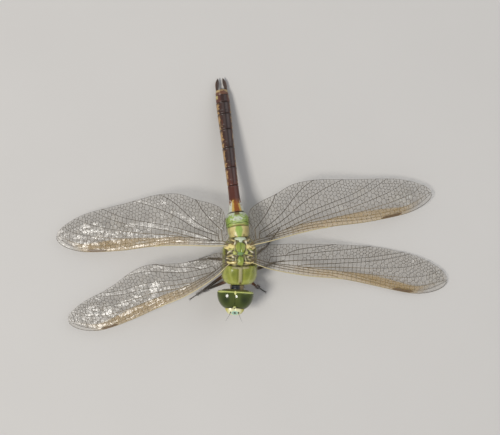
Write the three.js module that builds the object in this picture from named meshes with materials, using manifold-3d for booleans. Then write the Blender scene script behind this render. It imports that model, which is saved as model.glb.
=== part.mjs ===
// A female green darner dragonfly at life size, standing on a floor with its wings spread and drooped.
// Units are millimetres and +Z is up. The head points to -Y and the tail to +Y, so the animal's own left
// side is +X and its right side -X. Everything is shaped round the middle of the thorax, and the finished
// group is moved to put the middle of its outline at the origin, on the floor.
import * as THREE from "three";
import { mergeVertices } from "three/addons/utils/BufferGeometryUtils.js";
import Module from "manifold-3d";

const wasm = await Module();
wasm.setup();

// ---------- driving dimensions ----------
const gap = 0.12; // clearance between the plates of the body
const limbGap = 0.2; // clearance between the thorax and a wing root or a leg
const bodyRoll = 5; // degrees that the back leans to the left side
const thoraxAxisHeight = 8.5;

const headCentre = [-1.15, -13.1, 8.6];
const headYaw = -3; // degrees
const headHalfWidth = 5.5;
const eyeDepth = 4.9; // from the middle of the head to the front of the eyes
const eyeHalfHeight = 3.9;
const eyeSeamOffset = 1.4; // how far each eye's own centre lies from the middle of the head
const eyeBackY = 0.7; // where the eyes end, behind the middle of the head

const abdomenRoot = [0, 3.5, 9.35];
const abdomenYaw = 7.0; // degrees to the right side
const abdomenPitch = 10.2; // degrees down
const cercusLength = 4.3;

const wingThickness = 0.5;
const wingRootThickness = 1.3;
const wingHingeHeight = 12.6;
const wingTwist = 0.1; // slope of the sheet down to its rear edge at the root
const wingCamber = 0.02; // arch across the sheet, as a share of its width
const droopPower = 1.2;
const tipRoundness = 0.62;

// ---------- colours ----------
const paint = (color, roughness) => new THREE.MeshStandardMaterial({ color, roughness, metalness: 0 });
const thoraxGreen = paint(0x8fae3c, 0.45);
const headYellow = paint(0xb4b64c, 0.4);
const eyeOlive = paint(0x3f5220, 0.15);
const faceCream = paint(0xd8dcae, 0.35);
const abdomenGreen = paint(0x8fb34f, 0.4);
const abdomenBrown = paint(0x54291b, 0.38);
const tailBrown = paint(0x2f1c16, 0.4);
const legBlack = paint(0x241813, 0.4);
const wingClear = paint(0xb9b39c, 0.2);

// ---------- helpers ----------
const { degToRad: radians, lerp } = THREE.MathUtils;
const sides = [["left", 1], ["right", -1]];
const between = (a, b, share) => a.map((value, i) => lerp(value, b[i], share));

// A function that reads a smooth curve through rows of [position, value].
function profile(rows) {
  const samples = 400;
  const curve = new THREE.CatmullRomCurve3(rows.map(([u, v]) => new THREE.Vector3(u, v, 0)));
  const fine = Array.from({ length: samples + 1 }, (_, i) => curve.getPoint(i / samples));
  return (u) => {
    const next = fine.findIndex((point) => point.x >= u);
    if (next < 1) return next === 0 ? fine[0].y : fine[samples].y;
    const [a, b] = [fine[next - 1], fine[next]];
    return lerp(a.y, b.y, (u - a.x) / (b.x - a.x));
  };
}

// A closed skin over rings of points, all with the same number of points, with a flat fan at each end.
function loft(rings) {
  const count = rings[0].length;
  const last = (rings.length - 1) * count;
  const sum = (ring) => ring.reduce((total, point) => total.add(point), new THREE.Vector3());
  const centre = (ring) => sum(ring).divideScalar(count);
  const points = [...rings.flat(), centre(rings[0]), centre(rings.at(-1))];
  const index = [];
  for (let s = 0; s < count; s++) {
    const next = (s + 1) % count;
    for (let start = 0; start < last; start += count) {
      index.push(start + s, start + next, start + count + s);
      index.push(start + next, start + count + next, start + count + s);
    }
    index.push(last + count, next, s, last + count + 1, last + s, last + next);
  }
  return facingOut(new THREE.BufferGeometry().setFromPoints(points).setIndex(index));
}

// Turns the faces of a closed geometry round when they point inwards.
function facingOut(geometry) {
  const position = geometry.getAttribute("position");
  const index = geometry.index.array;
  const corner = (i) => new THREE.Vector3().fromBufferAttribute(position, index[i]);
  let volume = 0;
  for (let i = 0; i < index.length; i += 3) volume += corner(i).dot(corner(i + 1).cross(corner(i + 2)));
  if (volume < 0) index.reverse();
  return geometry;
}

// An upright ring at y, widest a little below its middle, and squarer as the power rises above 2.
function uprightRing(y, halfWidth, bottom, top, count = 22, power = 2.25) {
  const widest = lerp(bottom, top, 0.46);
  const swell = (value) => Math.sign(value) * Math.abs(value) ** (2 / power);
  return Array.from({ length: count }, (_, i) => {
    const across = swell(Math.cos((2 * Math.PI * i) / count));
    const up = swell(Math.sin((2 * Math.PI * i) / count));
    return new THREE.Vector3(halfWidth * across, y, widest + up * (up > 0 ? top - widest : widest - bottom));
  });
}

// An ellipsoid whose poles lie on its Y axis.
function ellipsoid(radii, centre, grow = 0, around = 15, along = 9) {
  return new THREE.SphereGeometry(1, around, along)
    .rotateX(Math.PI / 2)
    .scale(...radii.map((radius) => radius + grow))
    .translate(...centre);
}

const box = (size, centre) => new THREE.BoxGeometry(...size).translate(...centre);

// A round limb along rows of [x, y, z, radius].
function limb(rows, count = 8) {
  const points = rows.map(([x, y, z]) => new THREE.Vector3(x, y, z));
  const across = new THREE.Vector3(0.3, 0.2, 1);
  return loft(points.map((point, i) => {
    const before = points[Math.max(i - 1, 0)];
    const after = points[Math.min(i + 1, points.length - 1)];
    const along = after.clone().sub(before).normalize();
    across.addScaledVector(along, -across.dot(along)).normalize();
    const beside = along.cross(across);
    return Array.from({ length: count }, (_, s) => point.clone()
      .addScaledVector(across, rows[i][3] * Math.cos((2 * Math.PI * s) / count))
      .addScaledVector(beside, rows[i][3] * Math.sin((2 * Math.PI * s) / count)));
  }));
}

function toSolid(geometry) {
  const bare = new THREE.BufferGeometry().setAttribute("position", geometry.getAttribute("position"));
  const merged = mergeVertices(geometry.index ? bare.setIndex(geometry.index) : bare, 1e-4);
  return new wasm.Manifold(new wasm.Mesh({
    numProp: 3,
    vertProperties: merged.attributes.position.array,
    triVerts: new Uint32Array(merged.index.array),
  }));
}

function fromSolid(solid) {
  const mesh = solid.getMesh();
  const geometry = new THREE.BufferGeometry();
  geometry.setAttribute("position", new THREE.BufferAttribute(mesh.vertProperties, 3));
  geometry.setIndex(new THREE.BufferAttribute(mesh.triVerts, 1));
  geometry.computeVertexNormals();
  return geometry;
}

function add(parent, name, geometry, material) {
  const mesh = new THREE.Mesh(geometry, material);
  mesh.name = name;
  parent.add(mesh);
  mesh.updateWorldMatrix(true, false);
  return mesh;
}

// Cuts geometries, given in the dragonfly's frame, out of a mesh and keeps its largest piece.
function carve(mesh, ...cutters) {
  mesh.updateWorldMatrix(true, false);
  let solid = toSolid(mesh.geometry.clone().applyMatrix4(mesh.matrixWorld));
  for (const cutter of cutters) solid = solid.subtract(toSolid(cutter));
  const largest = solid.decompose().sort((a, b) => b.volume() - a.volume())[0];
  mesh.geometry = fromSolid(largest).applyMatrix4(mesh.matrixWorld.clone().invert());
}

const dragonfly = new THREE.Group();
const floor = box([300, 300, 20], [0, 0, -10]);

// ---------- thorax ----------
// Rows of [y, half width, bottom, top], from the neck to the waist.
const thoraxRows = [
  [-10.5, 2.4, 6.4, 9.6],
  [-10.1, 3.6, 5.2, 10.6],
  [-9.2, 4.6, 4.3, 11.6],
  [-7.8, 5.15, 3.7, 12.6],
  [-6.2, 5.2, 3.4, 13.4],
  [-4.4, 5.2, 3.4, 13.8],
  [-2.2, 5.2, 3.7, 13.9],
  [-0.2, 5.1, 4.3, 13.7],
  [1.6, 4.6, 5.0, 13.3],
  [3.0, 3.7, 5.7, 12.7],
  [3.9, 2.9, 6.5, 12.0],
];

function thoraxShape(grow = 0) {
  const ends = [-1, ...Array(thoraxRows.length - 2).fill(0), 1];
  const rings = thoraxRows.map(([y, halfWidth, bottom, top], i) =>
    uprightRing(y + ends[i] * grow, halfWidth + grow, bottom - grow, top + grow));
  return loft(rings)
    .translate(0, 0, -thoraxAxisHeight)
    .rotateY(radians(bodyRoll))
    .translate(0, 0, thoraxAxisHeight);
}

const prothoraxShape = (grow = 0) => ellipsoid([2.1, 1.6, 2.1], [-0.7, -11.2, 8.2], grow, 12, 8);
carve(add(dragonfly, "thorax", thoraxShape(), thoraxGreen), prothoraxShape(gap));
add(dragonfly, "prothorax", prothoraxShape(), headYellow);

// ---------- head ----------
// Each piece of the face as [radii, centre] round the middle of the head.
const head = new THREE.Group();
head.position.set(...headCentre);
head.rotation.z = radians(headYaw);
dragonfly.add(head);
head.updateWorldMatrix(true, false);
const facePieces = {
  frons: [[2.9, 2.2, 1.75], [0, -4.3, 0.55]],
  clypeus: [[2.55, 1.75, 1.45], [0, -4.1, -1.35]],
  labrum: [[2.1, 1.35, 1.1], [0, -3.8, -3.0]],
  labium: [[2.5, 2.3, 1.0], [0, -1.7, -3.75]],
  occiput: [[4.4, 0.95, 3.3], [0, 0.75, -0.1]],
};
const faceShape = (name, grow = 0) => ellipsoid(...facePieces[name], grow);
const faceCutter = (name) => faceShape(name, gap).applyMatrix4(head.matrixWorld);
const headBox = (size, centre) => box(size, centre).applyMatrix4(head.matrixWorld);

for (const [side, sign] of sides) {
  const radii = [headHalfWidth - eyeSeamOffset, eyeDepth, eyeHalfHeight];
  const eye = add(head, `eye_${side}`, ellipsoid(radii, [sign * eyeSeamOffset, 0, 0], 0, 24, 14), eyeOlive);
  const otherHalf = headBox([20, 20, 20], [-sign * (10 - gap / 2), 0, 0]);
  const behind = headBox([20, 10, 20], [0, eyeBackY + 5, 0]);
  carve(eye, otherHalf, behind, ...Object.keys(facePieces).map(faceCutter));
}
carve(add(head, "occiput", faceShape("occiput"), headYellow), prothoraxShape(gap), faceCutter("labium"));
carve(add(head, "frons", faceShape("frons"), faceCream), faceCutter("clypeus"));
carve(add(head, "clypeus", faceShape("clypeus"), faceCream), faceCutter("labrum"));
carve(add(head, "labrum", faceShape("labrum"), headYellow), faceCutter("labium"));
add(head, "labium", faceShape("labium"), headYellow);

for (const [side, sign] of sides) {
  const antenna = limb([
    [sign * 1.1, -5.4, 1.8, 0.3],
    [sign * 1.35, -6.1, 2.5, 0.25],
    [sign * 1.9, -7.2, 3.0, 0.25],
    [sign * 2.6, -8.3, 3.1, 0.22],
  ], 6);
  carve(add(head, `antenna_${side}`, antenna, legBlack), faceCutter("frons"));
}

// ---------- legs ----------
const footHeight = 0.2; // height of the middle of each foot, which is cut flat at the floor
const legRadius = { hip: 0.85, trochanter: 0.65, thigh: 0.6, knee: 0.45, shin: 0.36, foot: 0.27 };
const legs = {
  front_left: {
    hip: [1.5, -8.4, 5.2], trochanter: [2.5, -9.1, 3.6],
    knee: [5.0, -11.0, 6.0], ankle: [6.2, -12.0], toe: [7.9, -13.1],
  },
  front_right: {
    hip: [-1.5, -8.4, 5.2], trochanter: [-2.6, -9.1, 3.6],
    knee: [-9.2, -11.8, 4.6], ankle: [-11.1, -12.9], toe: [-12.5, -13.7],
  },
  middle_left: {
    hip: [1.8, -6.0, 4.8], trochanter: [3.2, -6.3, 3.3],
    knee: [8.2, -5.0, 6.6], ankle: [11.0, -4.0], toe: [13.4, -3.6],
  },
  middle_right: {
    hip: [-1.8, -6.0, 4.8], trochanter: [-3.2, -6.7, 3.3],
    knee: [-10.7, -12.1, 6.6], ankle: [-13.3, -14.1], toe: [-15.1, -15.3],
  },
  hind_left: {
    hip: [1.8, -3.2, 5.0], trochanter: [3.2, -2.6, 3.4],
    knee: [8.0, 0.8, 7.0], ankle: [10.7, 4.2], toe: [12.2, 6.2],
  },
  hind_right: {
    hip: [-1.8, -3.2, 5.0], trochanter: [-3.2, -3.2, 3.4],
    knee: [-9.3, -2.6, 7.2], ankle: [-12.6, -3.4], toe: [-15.2, -3.9],
  },
};

function legShape({ hip, trochanter, knee, ankle, toe }) {
  const heel = [...ankle, footHeight];
  return limb([
    [...hip, legRadius.hip],
    [...between(hip, trochanter, 0.6), legRadius.hip],
    [...trochanter, legRadius.trochanter],
    [...between(trochanter, knee, 0.3), legRadius.thigh],
    [...between(trochanter, knee, 0.95), legRadius.knee],
    [...between(knee, heel, 0.06), legRadius.shin],
    [...between(knee, heel, 0.93), legRadius.foot],
    [...between(heel, [...toe, footHeight], 0.12), legRadius.foot],
    [...toe, footHeight, legRadius.foot],
  ]);
}
for (const [name, leg] of Object.entries(legs)) {
  carve(add(dragonfly, `leg_${name}`, legShape(leg), legBlack), thoraxShape(limbGap), floor);
}

// ---------- abdomen ----------
// Each segment's length, its half widths at the front, middle and back, and its height over its width.
const segments = [
  { length: 3.3, widths: [2.75, 3.15, 3.3], tall: 0.92, material: abdomenGreen },
  { length: 4.3, widths: [3.4, 3.6, 2.7], tall: 0.92, material: abdomenGreen },
  { length: 8.4, widths: [2.6, 1.72, 1.62], tall: 0.96, material: abdomenBrown },
  { length: 5.6, widths: [1.66, 1.66, 1.72], tall: 0.95, material: abdomenBrown },
  { length: 6.1, widths: [1.74, 1.76, 1.82], tall: 0.94, material: abdomenBrown },
  { length: 5.7, widths: [1.84, 1.86, 1.94], tall: 0.94, material: abdomenBrown },
  { length: 4.9, widths: [1.96, 2.0, 2.06], tall: 0.92, material: abdomenBrown },
  { length: 3.65, widths: [2.06, 2.08, 2.08], tall: 0.9, material: abdomenBrown },
  { length: 2.4, widths: [2.06, 2.06, 2.0], tall: 0.88, material: abdomenBrown },
  { length: 1.65, widths: [1.96, 1.9, 1.7], tall: 0.8, material: abdomenBrown },
];
const abdomen = new THREE.Group();
abdomen.position.set(...abdomenRoot);
abdomen.rotation.set(radians(-abdomenPitch), radians(bodyRoll), radians(abdomenYaw), "ZXY");
dragonfly.add(abdomen);

// One closed barrel along +Y, with the edges at its two joints drawn in.
function segmentShape({ length, widths: [front, middle, back], tall }) {
  const edge = 0.18;
  const drawnIn = 0.9;
  const end = length - gap;
  const width = profile([[0, front], [0.5, middle], [1, back]]);
  const belt = [0, 0.25, 0.5, 0.75, 1].map((share) => [width(share), lerp(edge, end - edge, share)]);
  const outline = [[0, 0], [front * drawnIn, 0], ...belt, [back * drawnIn, end], [0, end]];
  return new THREE.LatheGeometry(outline.map(([x, y]) => new THREE.Vector2(x, y)), 14).scale(1, 1, tall);
}

let abdomenLength = 0;
for (const [i, segment] of segments.entries()) {
  const mesh = add(abdomen, `abdomen_${i + 1}`, segmentShape(segment), segment.material);
  mesh.position.y = abdomenLength;
  carve(mesh, thoraxShape(gap), floor);
  abdomenLength += segment.length;
}

// The two leaf-shaped claspers at the tail's end, leaning together.
const tail = segmentShape(segments.at(-1)).translate(0, abdomenLength - segments.at(-1).length + gap, 0);
abdomen.updateWorldMatrix(true, false);
tail.applyMatrix4(abdomen.matrixWorld);
const leafRows = [[0, 0.4], [0.15, 0.52], [0.45, 0.58], [0.7, 0.52], [0.9, 0.36], [1, 0.2]];
for (const [side, sign] of sides) {
  const leaf = loft(leafRows.map(([share, halfWidth]) =>
    uprightRing(share * cercusLength, halfWidth, -0.28, 0.28, 10, 2)));
  const cercus = add(abdomen, `cercus_${side}`, leaf, tailBrown);
  cercus.position.set(sign * 1.4, abdomenLength - 0.5, 0.3);
  cercus.rotation.set(radians(3), 0, radians(sign * 8));
  carve(cercus, tail, floor);
}

// ---------- wings ----------
// Edges as shares of the wing's length: [distance out from the hinge, distance ahead of the hinge-tip line].
const wingEdges = {
  fore: {
    front: [
      [-0.06, 0], [0, 0], [0.1, 0.026], [0.3, 0.046], [0.47, 0.046], [0.6, 0.06], [0.74, 0.078],
      [0.84, 0.086], [1, 0.086],
    ],
    rear: [
      [-0.06, -0.03], [0, -0.035], [0.04, -0.078], [0.15, -0.1], [0.3, -0.115], [0.5, -0.128],
      [0.65, -0.13], [0.8, -0.112], [1, -0.075],
    ],
  },
  hind: {
    front: [
      [-0.06, 0], [0, 0], [0.1, 0.006], [0.3, 0.012], [0.45, 0.026], [0.6, 0.051], [0.74, 0.066],
      [0.84, 0.071], [1, 0.071],
    ],
    rear: [
      [-0.06, -0.03], [0.005, -0.04], [0.025, -0.12], [0.05, -0.178], [0.1, -0.203], [0.2, -0.222],
      [0.3, -0.247], [0.42, -0.238], [0.6, -0.188], [0.78, -0.14], [1, -0.075],
    ],
  },
};
const tipFrom = 0.8; // where the tip starts to round off
const belly = { middle: 0.48, spread: 0.13 };
// Each wing's hinge, its angle back from straight out, its length, and its width against the plain shape.
// bow moves its middle forward, bulge pushes its rear edge out, and reach is where along it the droop ends.
const wings = {
  fore_left: {
    edges: "fore", side: 1, hinge: [2.9, -3.4], sweep: -5.6, length: 60.8,
    width: 0.98, bow: 0, bulge: 0, reach: 0.62,
  },
  fore_right: {
    edges: "fore", side: -1, hinge: [-2.5, -3.7], sweep: -20.1, length: 52.9,
    width: 1, bow: 0.054, bulge: 0.075, reach: 1.12,
  },
  hind_left: {
    edges: "hind", side: 1, hinge: [3.2, 1.3], sweep: 16.2, length: 57.6,
    width: 0.98, bow: 0, bulge: 0, reach: 1.12,
  },
  hind_right: {
    edges: "hind", side: -1, hinge: [-3.0, 1.3], sweep: 2.8, length: 52.9,
    width: 1.12, bow: 0, bulge: 0, reach: 1.12,
  },
};
const wingTipHeight = 1.1;
const edgeCurves = Object.fromEntries(Object.entries(wingEdges).map(([name, { front, rear }]) =>
  [name, { front: profile(front), rear: profile(rear) }]));

// A point of a wing's middle sheet: u runs from hinge to tip and v from the front edge, 0, to the rear, 1.
function wingPoint(wing, u, v) {
  const curves = edgeCurves[wing.edges];
  const taper = (1 - Math.max(0, (u - tipFrom) / (1 - tipFrom)) ** 2) ** tipRoundness;
  const bow = wing.bow * Math.sin(Math.PI * Math.max(u, 0));
  const bulge = wing.bulge * Math.exp(-(((u - belly.middle) / belly.spread) ** 2) / 2);
  const front = curves.front(u) * wing.width * taper + bow;
  const rear = curves.rear(u) * wing.width * taper + bow - bulge;
  const out = u * wing.length;
  const ahead = lerp(front, rear, v) * wing.length;
  const fall = Math.max(0, 1 - Math.max(u, 0) / wing.reach) ** droopPower;
  const arch = wingCamber * (front - rear) * wing.length * 4 * v * (1 - v);
  const turn = radians(wing.sweep);
  return new THREE.Vector3(
    wing.hinge[0] + wing.side * (out * Math.cos(turn) + ahead * Math.sin(turn)),
    wing.hinge[1] + out * Math.sin(turn) - ahead * Math.cos(turn),
    lerp(wingTipHeight, wingHingeHeight, fall) + arch + wingTwist * ahead * (1 - Math.max(u, 0)),
  );
}

function wingShape(wing) {
  const along = 21;
  const across = 5;
  return loft(Array.from({ length: along + 1 }, (_, i) => {
    const u = lerp(-0.03, 0.9985, (1 - Math.cos((Math.PI * i) / along)) / 2);
    const thickness = lerp(wingRootThickness, wingThickness, THREE.MathUtils.clamp(u / 0.07, 0, 1));
    const sheet = Array.from({ length: across + 1 }, (_, j) => wingPoint(wing, u, j / across));
    const raised = (lift) => sheet.map((point) => point.clone().setZ(point.z + lift));
    return [...raised(thickness / 2), ...raised(-thickness / 2).reverse()];
  }));
}
for (const [name, wing] of Object.entries(wings)) {
  carve(add(dragonfly, `wing_${name}`, wingShape(wing), wingClear), thoraxShape(limbGap), floor);
}

// ---------- origin: the middle of the outline, on the floor ----------
const outline = new THREE.Box3().setFromObject(dragonfly, true);
const middle = outline.getCenter(new THREE.Vector3());
dragonfly.position.set(-middle.x, -middle.y, -outline.min.z);

export default dragonfly;
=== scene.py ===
"""A female green darner dragonfly at life size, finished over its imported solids."""

import math
import random

import bpy
import numpy as np
from bpy.props import FloatProperty, FloatVectorProperty, IntProperty, PointerProperty
from mathutils import Matrix, Vector, geometry, noise
from mathutils.kdtree import KDTree


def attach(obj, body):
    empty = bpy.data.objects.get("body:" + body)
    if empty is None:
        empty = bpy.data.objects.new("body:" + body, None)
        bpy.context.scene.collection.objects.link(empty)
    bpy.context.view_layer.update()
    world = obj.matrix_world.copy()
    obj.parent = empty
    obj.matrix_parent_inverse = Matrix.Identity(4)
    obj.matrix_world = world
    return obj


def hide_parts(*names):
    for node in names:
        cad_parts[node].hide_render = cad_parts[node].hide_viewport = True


bl_info = {
    "name": "Dragonfly",
    "version": (1, 0, 0),
    "blender": (4, 5, 0),
    "location": "View3D > Sidebar > Dragonfly",
    "description": "Models a resting dragonfly piece by piece",
    "category": "Add Mesh",
}

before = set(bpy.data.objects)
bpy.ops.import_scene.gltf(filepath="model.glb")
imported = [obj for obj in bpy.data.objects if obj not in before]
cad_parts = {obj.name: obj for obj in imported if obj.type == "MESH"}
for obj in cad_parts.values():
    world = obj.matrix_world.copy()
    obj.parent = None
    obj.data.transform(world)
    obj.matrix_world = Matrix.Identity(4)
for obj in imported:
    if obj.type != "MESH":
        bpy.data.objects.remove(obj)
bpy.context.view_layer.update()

# ---------- the frame: shapes are worked out in millimetres, with the head to -Y ----------
MM = 0.001
THORAX_MIDDLE = (-3.7893, -13.9031, 0)  # in the frame, whose origin is the middle of the whole outline
TO_FRAME = Matrix.Scale(MM, 4) @ Matrix.Translation(THORAX_MIDDLE)
THORAX_AXIS = 8.5  # height of the line that the body is rolled about
BODY_ROLL = math.radians(5)
HEAD_CENTRE = (-1.15, -13.1, 8.6)
HEAD_YAW = math.radians(-3)
ABDOMEN_ROOT = (0, 3.5, 9.35)
ABDOMEN_YAW = math.radians(7)
ABDOMEN_PITCH = math.radians(-10.2)
THORAX_SPACE = (
    TO_FRAME
    @ Matrix.Translation((0, 0, THORAX_AXIS))
    @ Matrix.Rotation(BODY_ROLL, 4, "Y")
    @ Matrix.Translation((0, 0, -THORAX_AXIS))
)
HEAD_SPACE = TO_FRAME @ Matrix.Translation(HEAD_CENTRE) @ Matrix.Rotation(HEAD_YAW, 4, "Z")
ABDOMEN_SPACE = (
    TO_FRAME
    @ Matrix.Translation(ABDOMEN_ROOT)
    @ Matrix.Rotation(ABDOMEN_YAW, 4, "Z")
    @ Matrix.Rotation(ABDOMEN_PITCH, 4, "X")
    @ Matrix.Rotation(BODY_ROLL, 4, "Y")
)
SIDES = (("left", 1), ("right", -1))


# ---------- small sums ----------
def lerp(a, b, share):
    return a + (b - a) * share


def ease(low, high, value):
    """0 below low, 1 above high, and smooth between them."""
    share = min(max((value - low) / (high - low), 0.0), 1.0)
    return share * share * (3 - 2 * share)


def hump(value, middle, spread):
    """1 at the middle, and fading to 0 on both sides of it."""
    return math.exp(-(((value - middle) / spread) ** 2))


def blended(first, second, share):
    return tuple(lerp(a, b, share) for a, b in zip(first, second))


def profile(rows):
    """A smooth curve through rows of (position, value), read at any position or array of positions."""
    points = [Vector(row) for row in rows]
    points = [points[0] * 2 - points[1], *points, points[-1] * 2 - points[-2]]
    fine, steps = [], 24
    for a, b, c, d in zip(points, points[1:], points[2:], points[3:]):
        ab, bc, cd = ((q - p).length ** 0.5 for p, q in ((a, b), (b, c), (c, d)))
        start = ((b - a) / ab - (c - a) / (ab + bc) + (c - b) / bc) * bc
        end = ((c - b) / bc - (d - b) / (bc + cd) + (d - c) / cd) * bc
        square, cube = c * 3 - b * 3 - start * 2 - end, b * 2 - c * 2 + start + end
        for step in range(steps):
            share = step / steps
            fine.append(b + start * share + square * share**2 + cube * share**3)
    fine.append(points[-2])
    x, y = np.array([p.x for p in fine]), np.array([p.y for p in fine])
    return lambda position: np.interp(position, x, y)


# ---------- making pieces ----------
def deselect():
    if bpy.context.mode != "OBJECT":
        bpy.ops.object.mode_set(mode="OBJECT")
    bpy.ops.object.select_all(action="DESELECT")


def pick(piece):
    deselect()
    piece.select_set(True)
    bpy.context.view_layer.objects.active = piece


FINE_GAP = 2e-7  # metres, for pieces whose own points lie close together
SHEET_GAP = 1e-7


def close_up(piece, gap=2e-6):
    """Joins the points of a piece's seams and poles and turns its faces outwards."""
    pick(piece)
    bpy.ops.object.mode_set(mode="EDIT")
    bpy.ops.mesh.select_all(action="SELECT")
    bpy.ops.mesh.remove_doubles(threshold=gap)
    bpy.ops.mesh.delete_loose()
    bpy.ops.mesh.select_all(action="SELECT")
    bpy.ops.mesh.normals_make_consistent(inside=False)
    bpy.ops.object.mode_set(mode="OBJECT")
    bpy.ops.object.shade_smooth()
    return piece


def sheet(name, across, along, place, space=TO_FRAME, tint=None):
    """A grid whose points are laid by place(u, v), in millimetres, and coloured by tint(u, v, point)."""
    deselect()
    bpy.ops.mesh.primitive_grid_add(x_subdivisions=across, y_subdivisions=along, size=1, calc_uvs=True)
    piece = bpy.context.object
    piece.name = piece.data.name = name
    colours = []
    for vertex in piece.data.vertices:
        u, v = vertex.co.x + 0.5, vertex.co.y + 0.5
        point = Vector(place(u, v))
        if tint:
            colours.extend((*tint(u, v, point), 1.0))
        vertex.co = space @ point
    if tint:
        piece.data.attributes.new("tint", "FLOAT_COLOR", "POINT").data.foreach_set("color", colours)
    return piece


def apply(piece, kind, **settings):
    """Adds a modifier with these settings and applies it."""
    pick(piece)
    modifier = piece.modifiers.new(kind.title(), kind)
    for key, value in settings.items():
        setattr(modifier, key, value)
    bpy.ops.object.modifier_apply(modifier=modifier.name)


def threads(name, strands, thickness, space=TO_FRAME, sides=0):
    """Round threads along strands of (point, share of the thickness), in millimetres, as one mesh."""
    deselect()
    bpy.ops.curve.primitive_nurbs_path_add()
    piece = bpy.context.object
    piece.name = piece.data.name = name
    curve = piece.data
    curve.splines.clear()
    curve.dimensions = "3D"
    for strand in strands:
        spline = curve.splines.new("POLY")
        spline.points.add(len(strand) - 1)
        for target, (point, share) in zip(spline.points, strand):
            target.co = (*(space @ Vector(point)), 1)
            target.radius = share
    curve.bevel_depth = thickness * MM / 2
    curve.bevel_resolution = sides
    curve.use_fill_caps = True
    bpy.ops.object.convert(target="MESH")
    return close_up(bpy.context.object, FINE_GAP)


def join(name, pieces):
    """Makes one piece of several."""
    pick(pieces[0])
    for piece in pieces:
        piece.select_set(True)
    if len(pieces) > 1:
        bpy.ops.object.join()
    piece = bpy.context.object
    piece.name = piece.data.name = name
    return piece


def finish(piece, material, slot, *nodes):
    """Gives a piece its material, its body and the nodes that it takes the place of."""
    piece.data.materials.clear()
    piece.data.materials.append(material)
    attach(piece, "root")
    if nodes:
        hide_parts(*nodes)


# ---------- materials ----------
class Finish:
    """One procedural material, made node by node."""

    def __init__(self, name, **sockets):
        self.material = bpy.data.materials.new(name)
        self.material.use_nodes = True
        self.nodes = self.material.node_tree.nodes
        self.links = self.material.node_tree.links
        self.shader = self.nodes["Principled BSDF"]
        for key, value in sockets.items():
            self.put(self.shader.inputs[key.replace("_", " ")], value)

    def put(self, socket, value):
        if isinstance(value, bpy.types.NodeSocket):
            self.links.new(value, socket)
        elif socket.type == "RGBA":
            socket.default_value = (*value[:3], 1)
        else:
            socket.default_value = value

    def add(self, kind, inputs=(), **settings):
        node = self.nodes.new(kind)
        for key, value in settings.items():
            setattr(node, key, value)
        for key, value in dict(inputs).items():
            self.put(node.inputs[key], value)
        return node

    def tint(self):
        return self.add("ShaderNodeAttribute", attribute_name="tint").outputs["Color"]

    def mask(self, name):
        return self.add("ShaderNodeAttribute", attribute_name=name).outputs["Fac"]

    def where(self, size, stretch=(1, 1, 1)):
        """Object coordinates, scaled so that a pattern's grain is about size millimetres."""
        place = self.add("ShaderNodeTexCoord").outputs["Object"]
        scale = tuple(1000 / size / s for s in stretch)
        return self.add("ShaderNodeMapping", {"Vector": place, "Scale": scale}).outputs[0]

    def grain(self, size, detail=3.0, stretch=(1, 1, 1)):
        inputs = {"Vector": self.where(size, stretch), "Scale": 1.0, "Detail": detail, "Roughness": 0.5}
        return self.add("ShaderNodeTexNoise", inputs).outputs[0]

    def cells(self, size, feature="F1"):
        inputs = {"Vector": self.where(size), "Scale": 1.0}
        return self.add("ShaderNodeTexVoronoi", inputs, feature=feature).outputs[0]

    def ramp(self, value, *stops):
        """A value or colour read from stops of (position, value or colour)."""
        node = self.add("ShaderNodeValToRGB", {"Fac": value})
        elements = node.color_ramp.elements
        while len(elements) < len(stops):
            elements.new(0.5)
        for element, (position, colour) in zip(elements, stops):
            element.position = position
            element.color = (*colour, 1) if isinstance(colour, tuple) else (colour, colour, colour, 1)
        return node.outputs[0]

    def mix(self, share, first, second, blend="MIX"):
        node = self.add("ShaderNodeMix", data_type="RGBA", blend_type=blend)
        for socket, value in ((0, share), (6, first), (7, second)):
            self.put(node.inputs[socket], value)
        return node.outputs[2]

    def times(self, first, second):
        return self.add("ShaderNodeMath", {0: first, 1: second}, operation="MULTIPLY").outputs[0]

    def spread(self, value, low, high):
        node = self.add("ShaderNodeMapRange", {"Value": value, "To Min": low, "To Max": high})
        return node.outputs[0]

    def relief(self, height, depth, under=None):
        """A bump whose full height is depth millimetres, over another bump."""
        inputs = {"Height": height, "Distance": depth * MM, "Strength": 1.0}
        if under:
            inputs["Normal"] = under
        return self.add("ShaderNodeBump", inputs).outputs[0]

    def done(self, **sockets):
        for key, value in sockets.items():
            self.put(self.shader.inputs[key.replace("_", " ")], value)
        return self.material


# ---------- sizes and colours that a user would change ----------
def length(name, description, default):
    return FloatProperty(
        name=name, description=description, default=default, min=0, unit="LENGTH", precision=6
    )


def colour(name, description, default):
    return FloatVectorProperty(
        name=name, description=description, default=default, size=3, min=0, max=1, subtype="COLOR"
    )


class DragonflySizes(bpy.types.PropertyGroup):
    vein_thickness: length("Cross vein", "Thickness of the small veins between the cells", 0.000095)
    main_vein_thickness: length("Main vein", "Thickness of a long vein at its root", 0.00026)
    membrane_thickness: length("Membrane", "Thickness of the clear sheet of the wings", 0.00003)
    cell_size: length("Wing cell", "Usual width of a cell of the wings", 0.0013)
    pleat_depth: length("Pleats", "How far the long veins stand above or below the sheet", 0.0002)
    hair_length: length("Hair", "Longest hair of the thorax", 0.0011)
    hair_count: IntProperty(name="Hairs", description="Number of hairs on the thorax", default=900, min=0)
    camera_height: length("Camera height", "Height of the camera over the floor", 0.4)
    focal_length: FloatProperty(
        name="Focal length", description="Focal length of the camera", default=94.08, unit="CAMERA"
    )
    key_power: FloatProperty(
        name="Key light", description="Power of the small light", default=10.8, unit="POWER"
    )
    fill_power: FloatProperty(
        name="Fill light", description="Power of the large light opposite", default=3.2, unit="POWER"
    )


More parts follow.
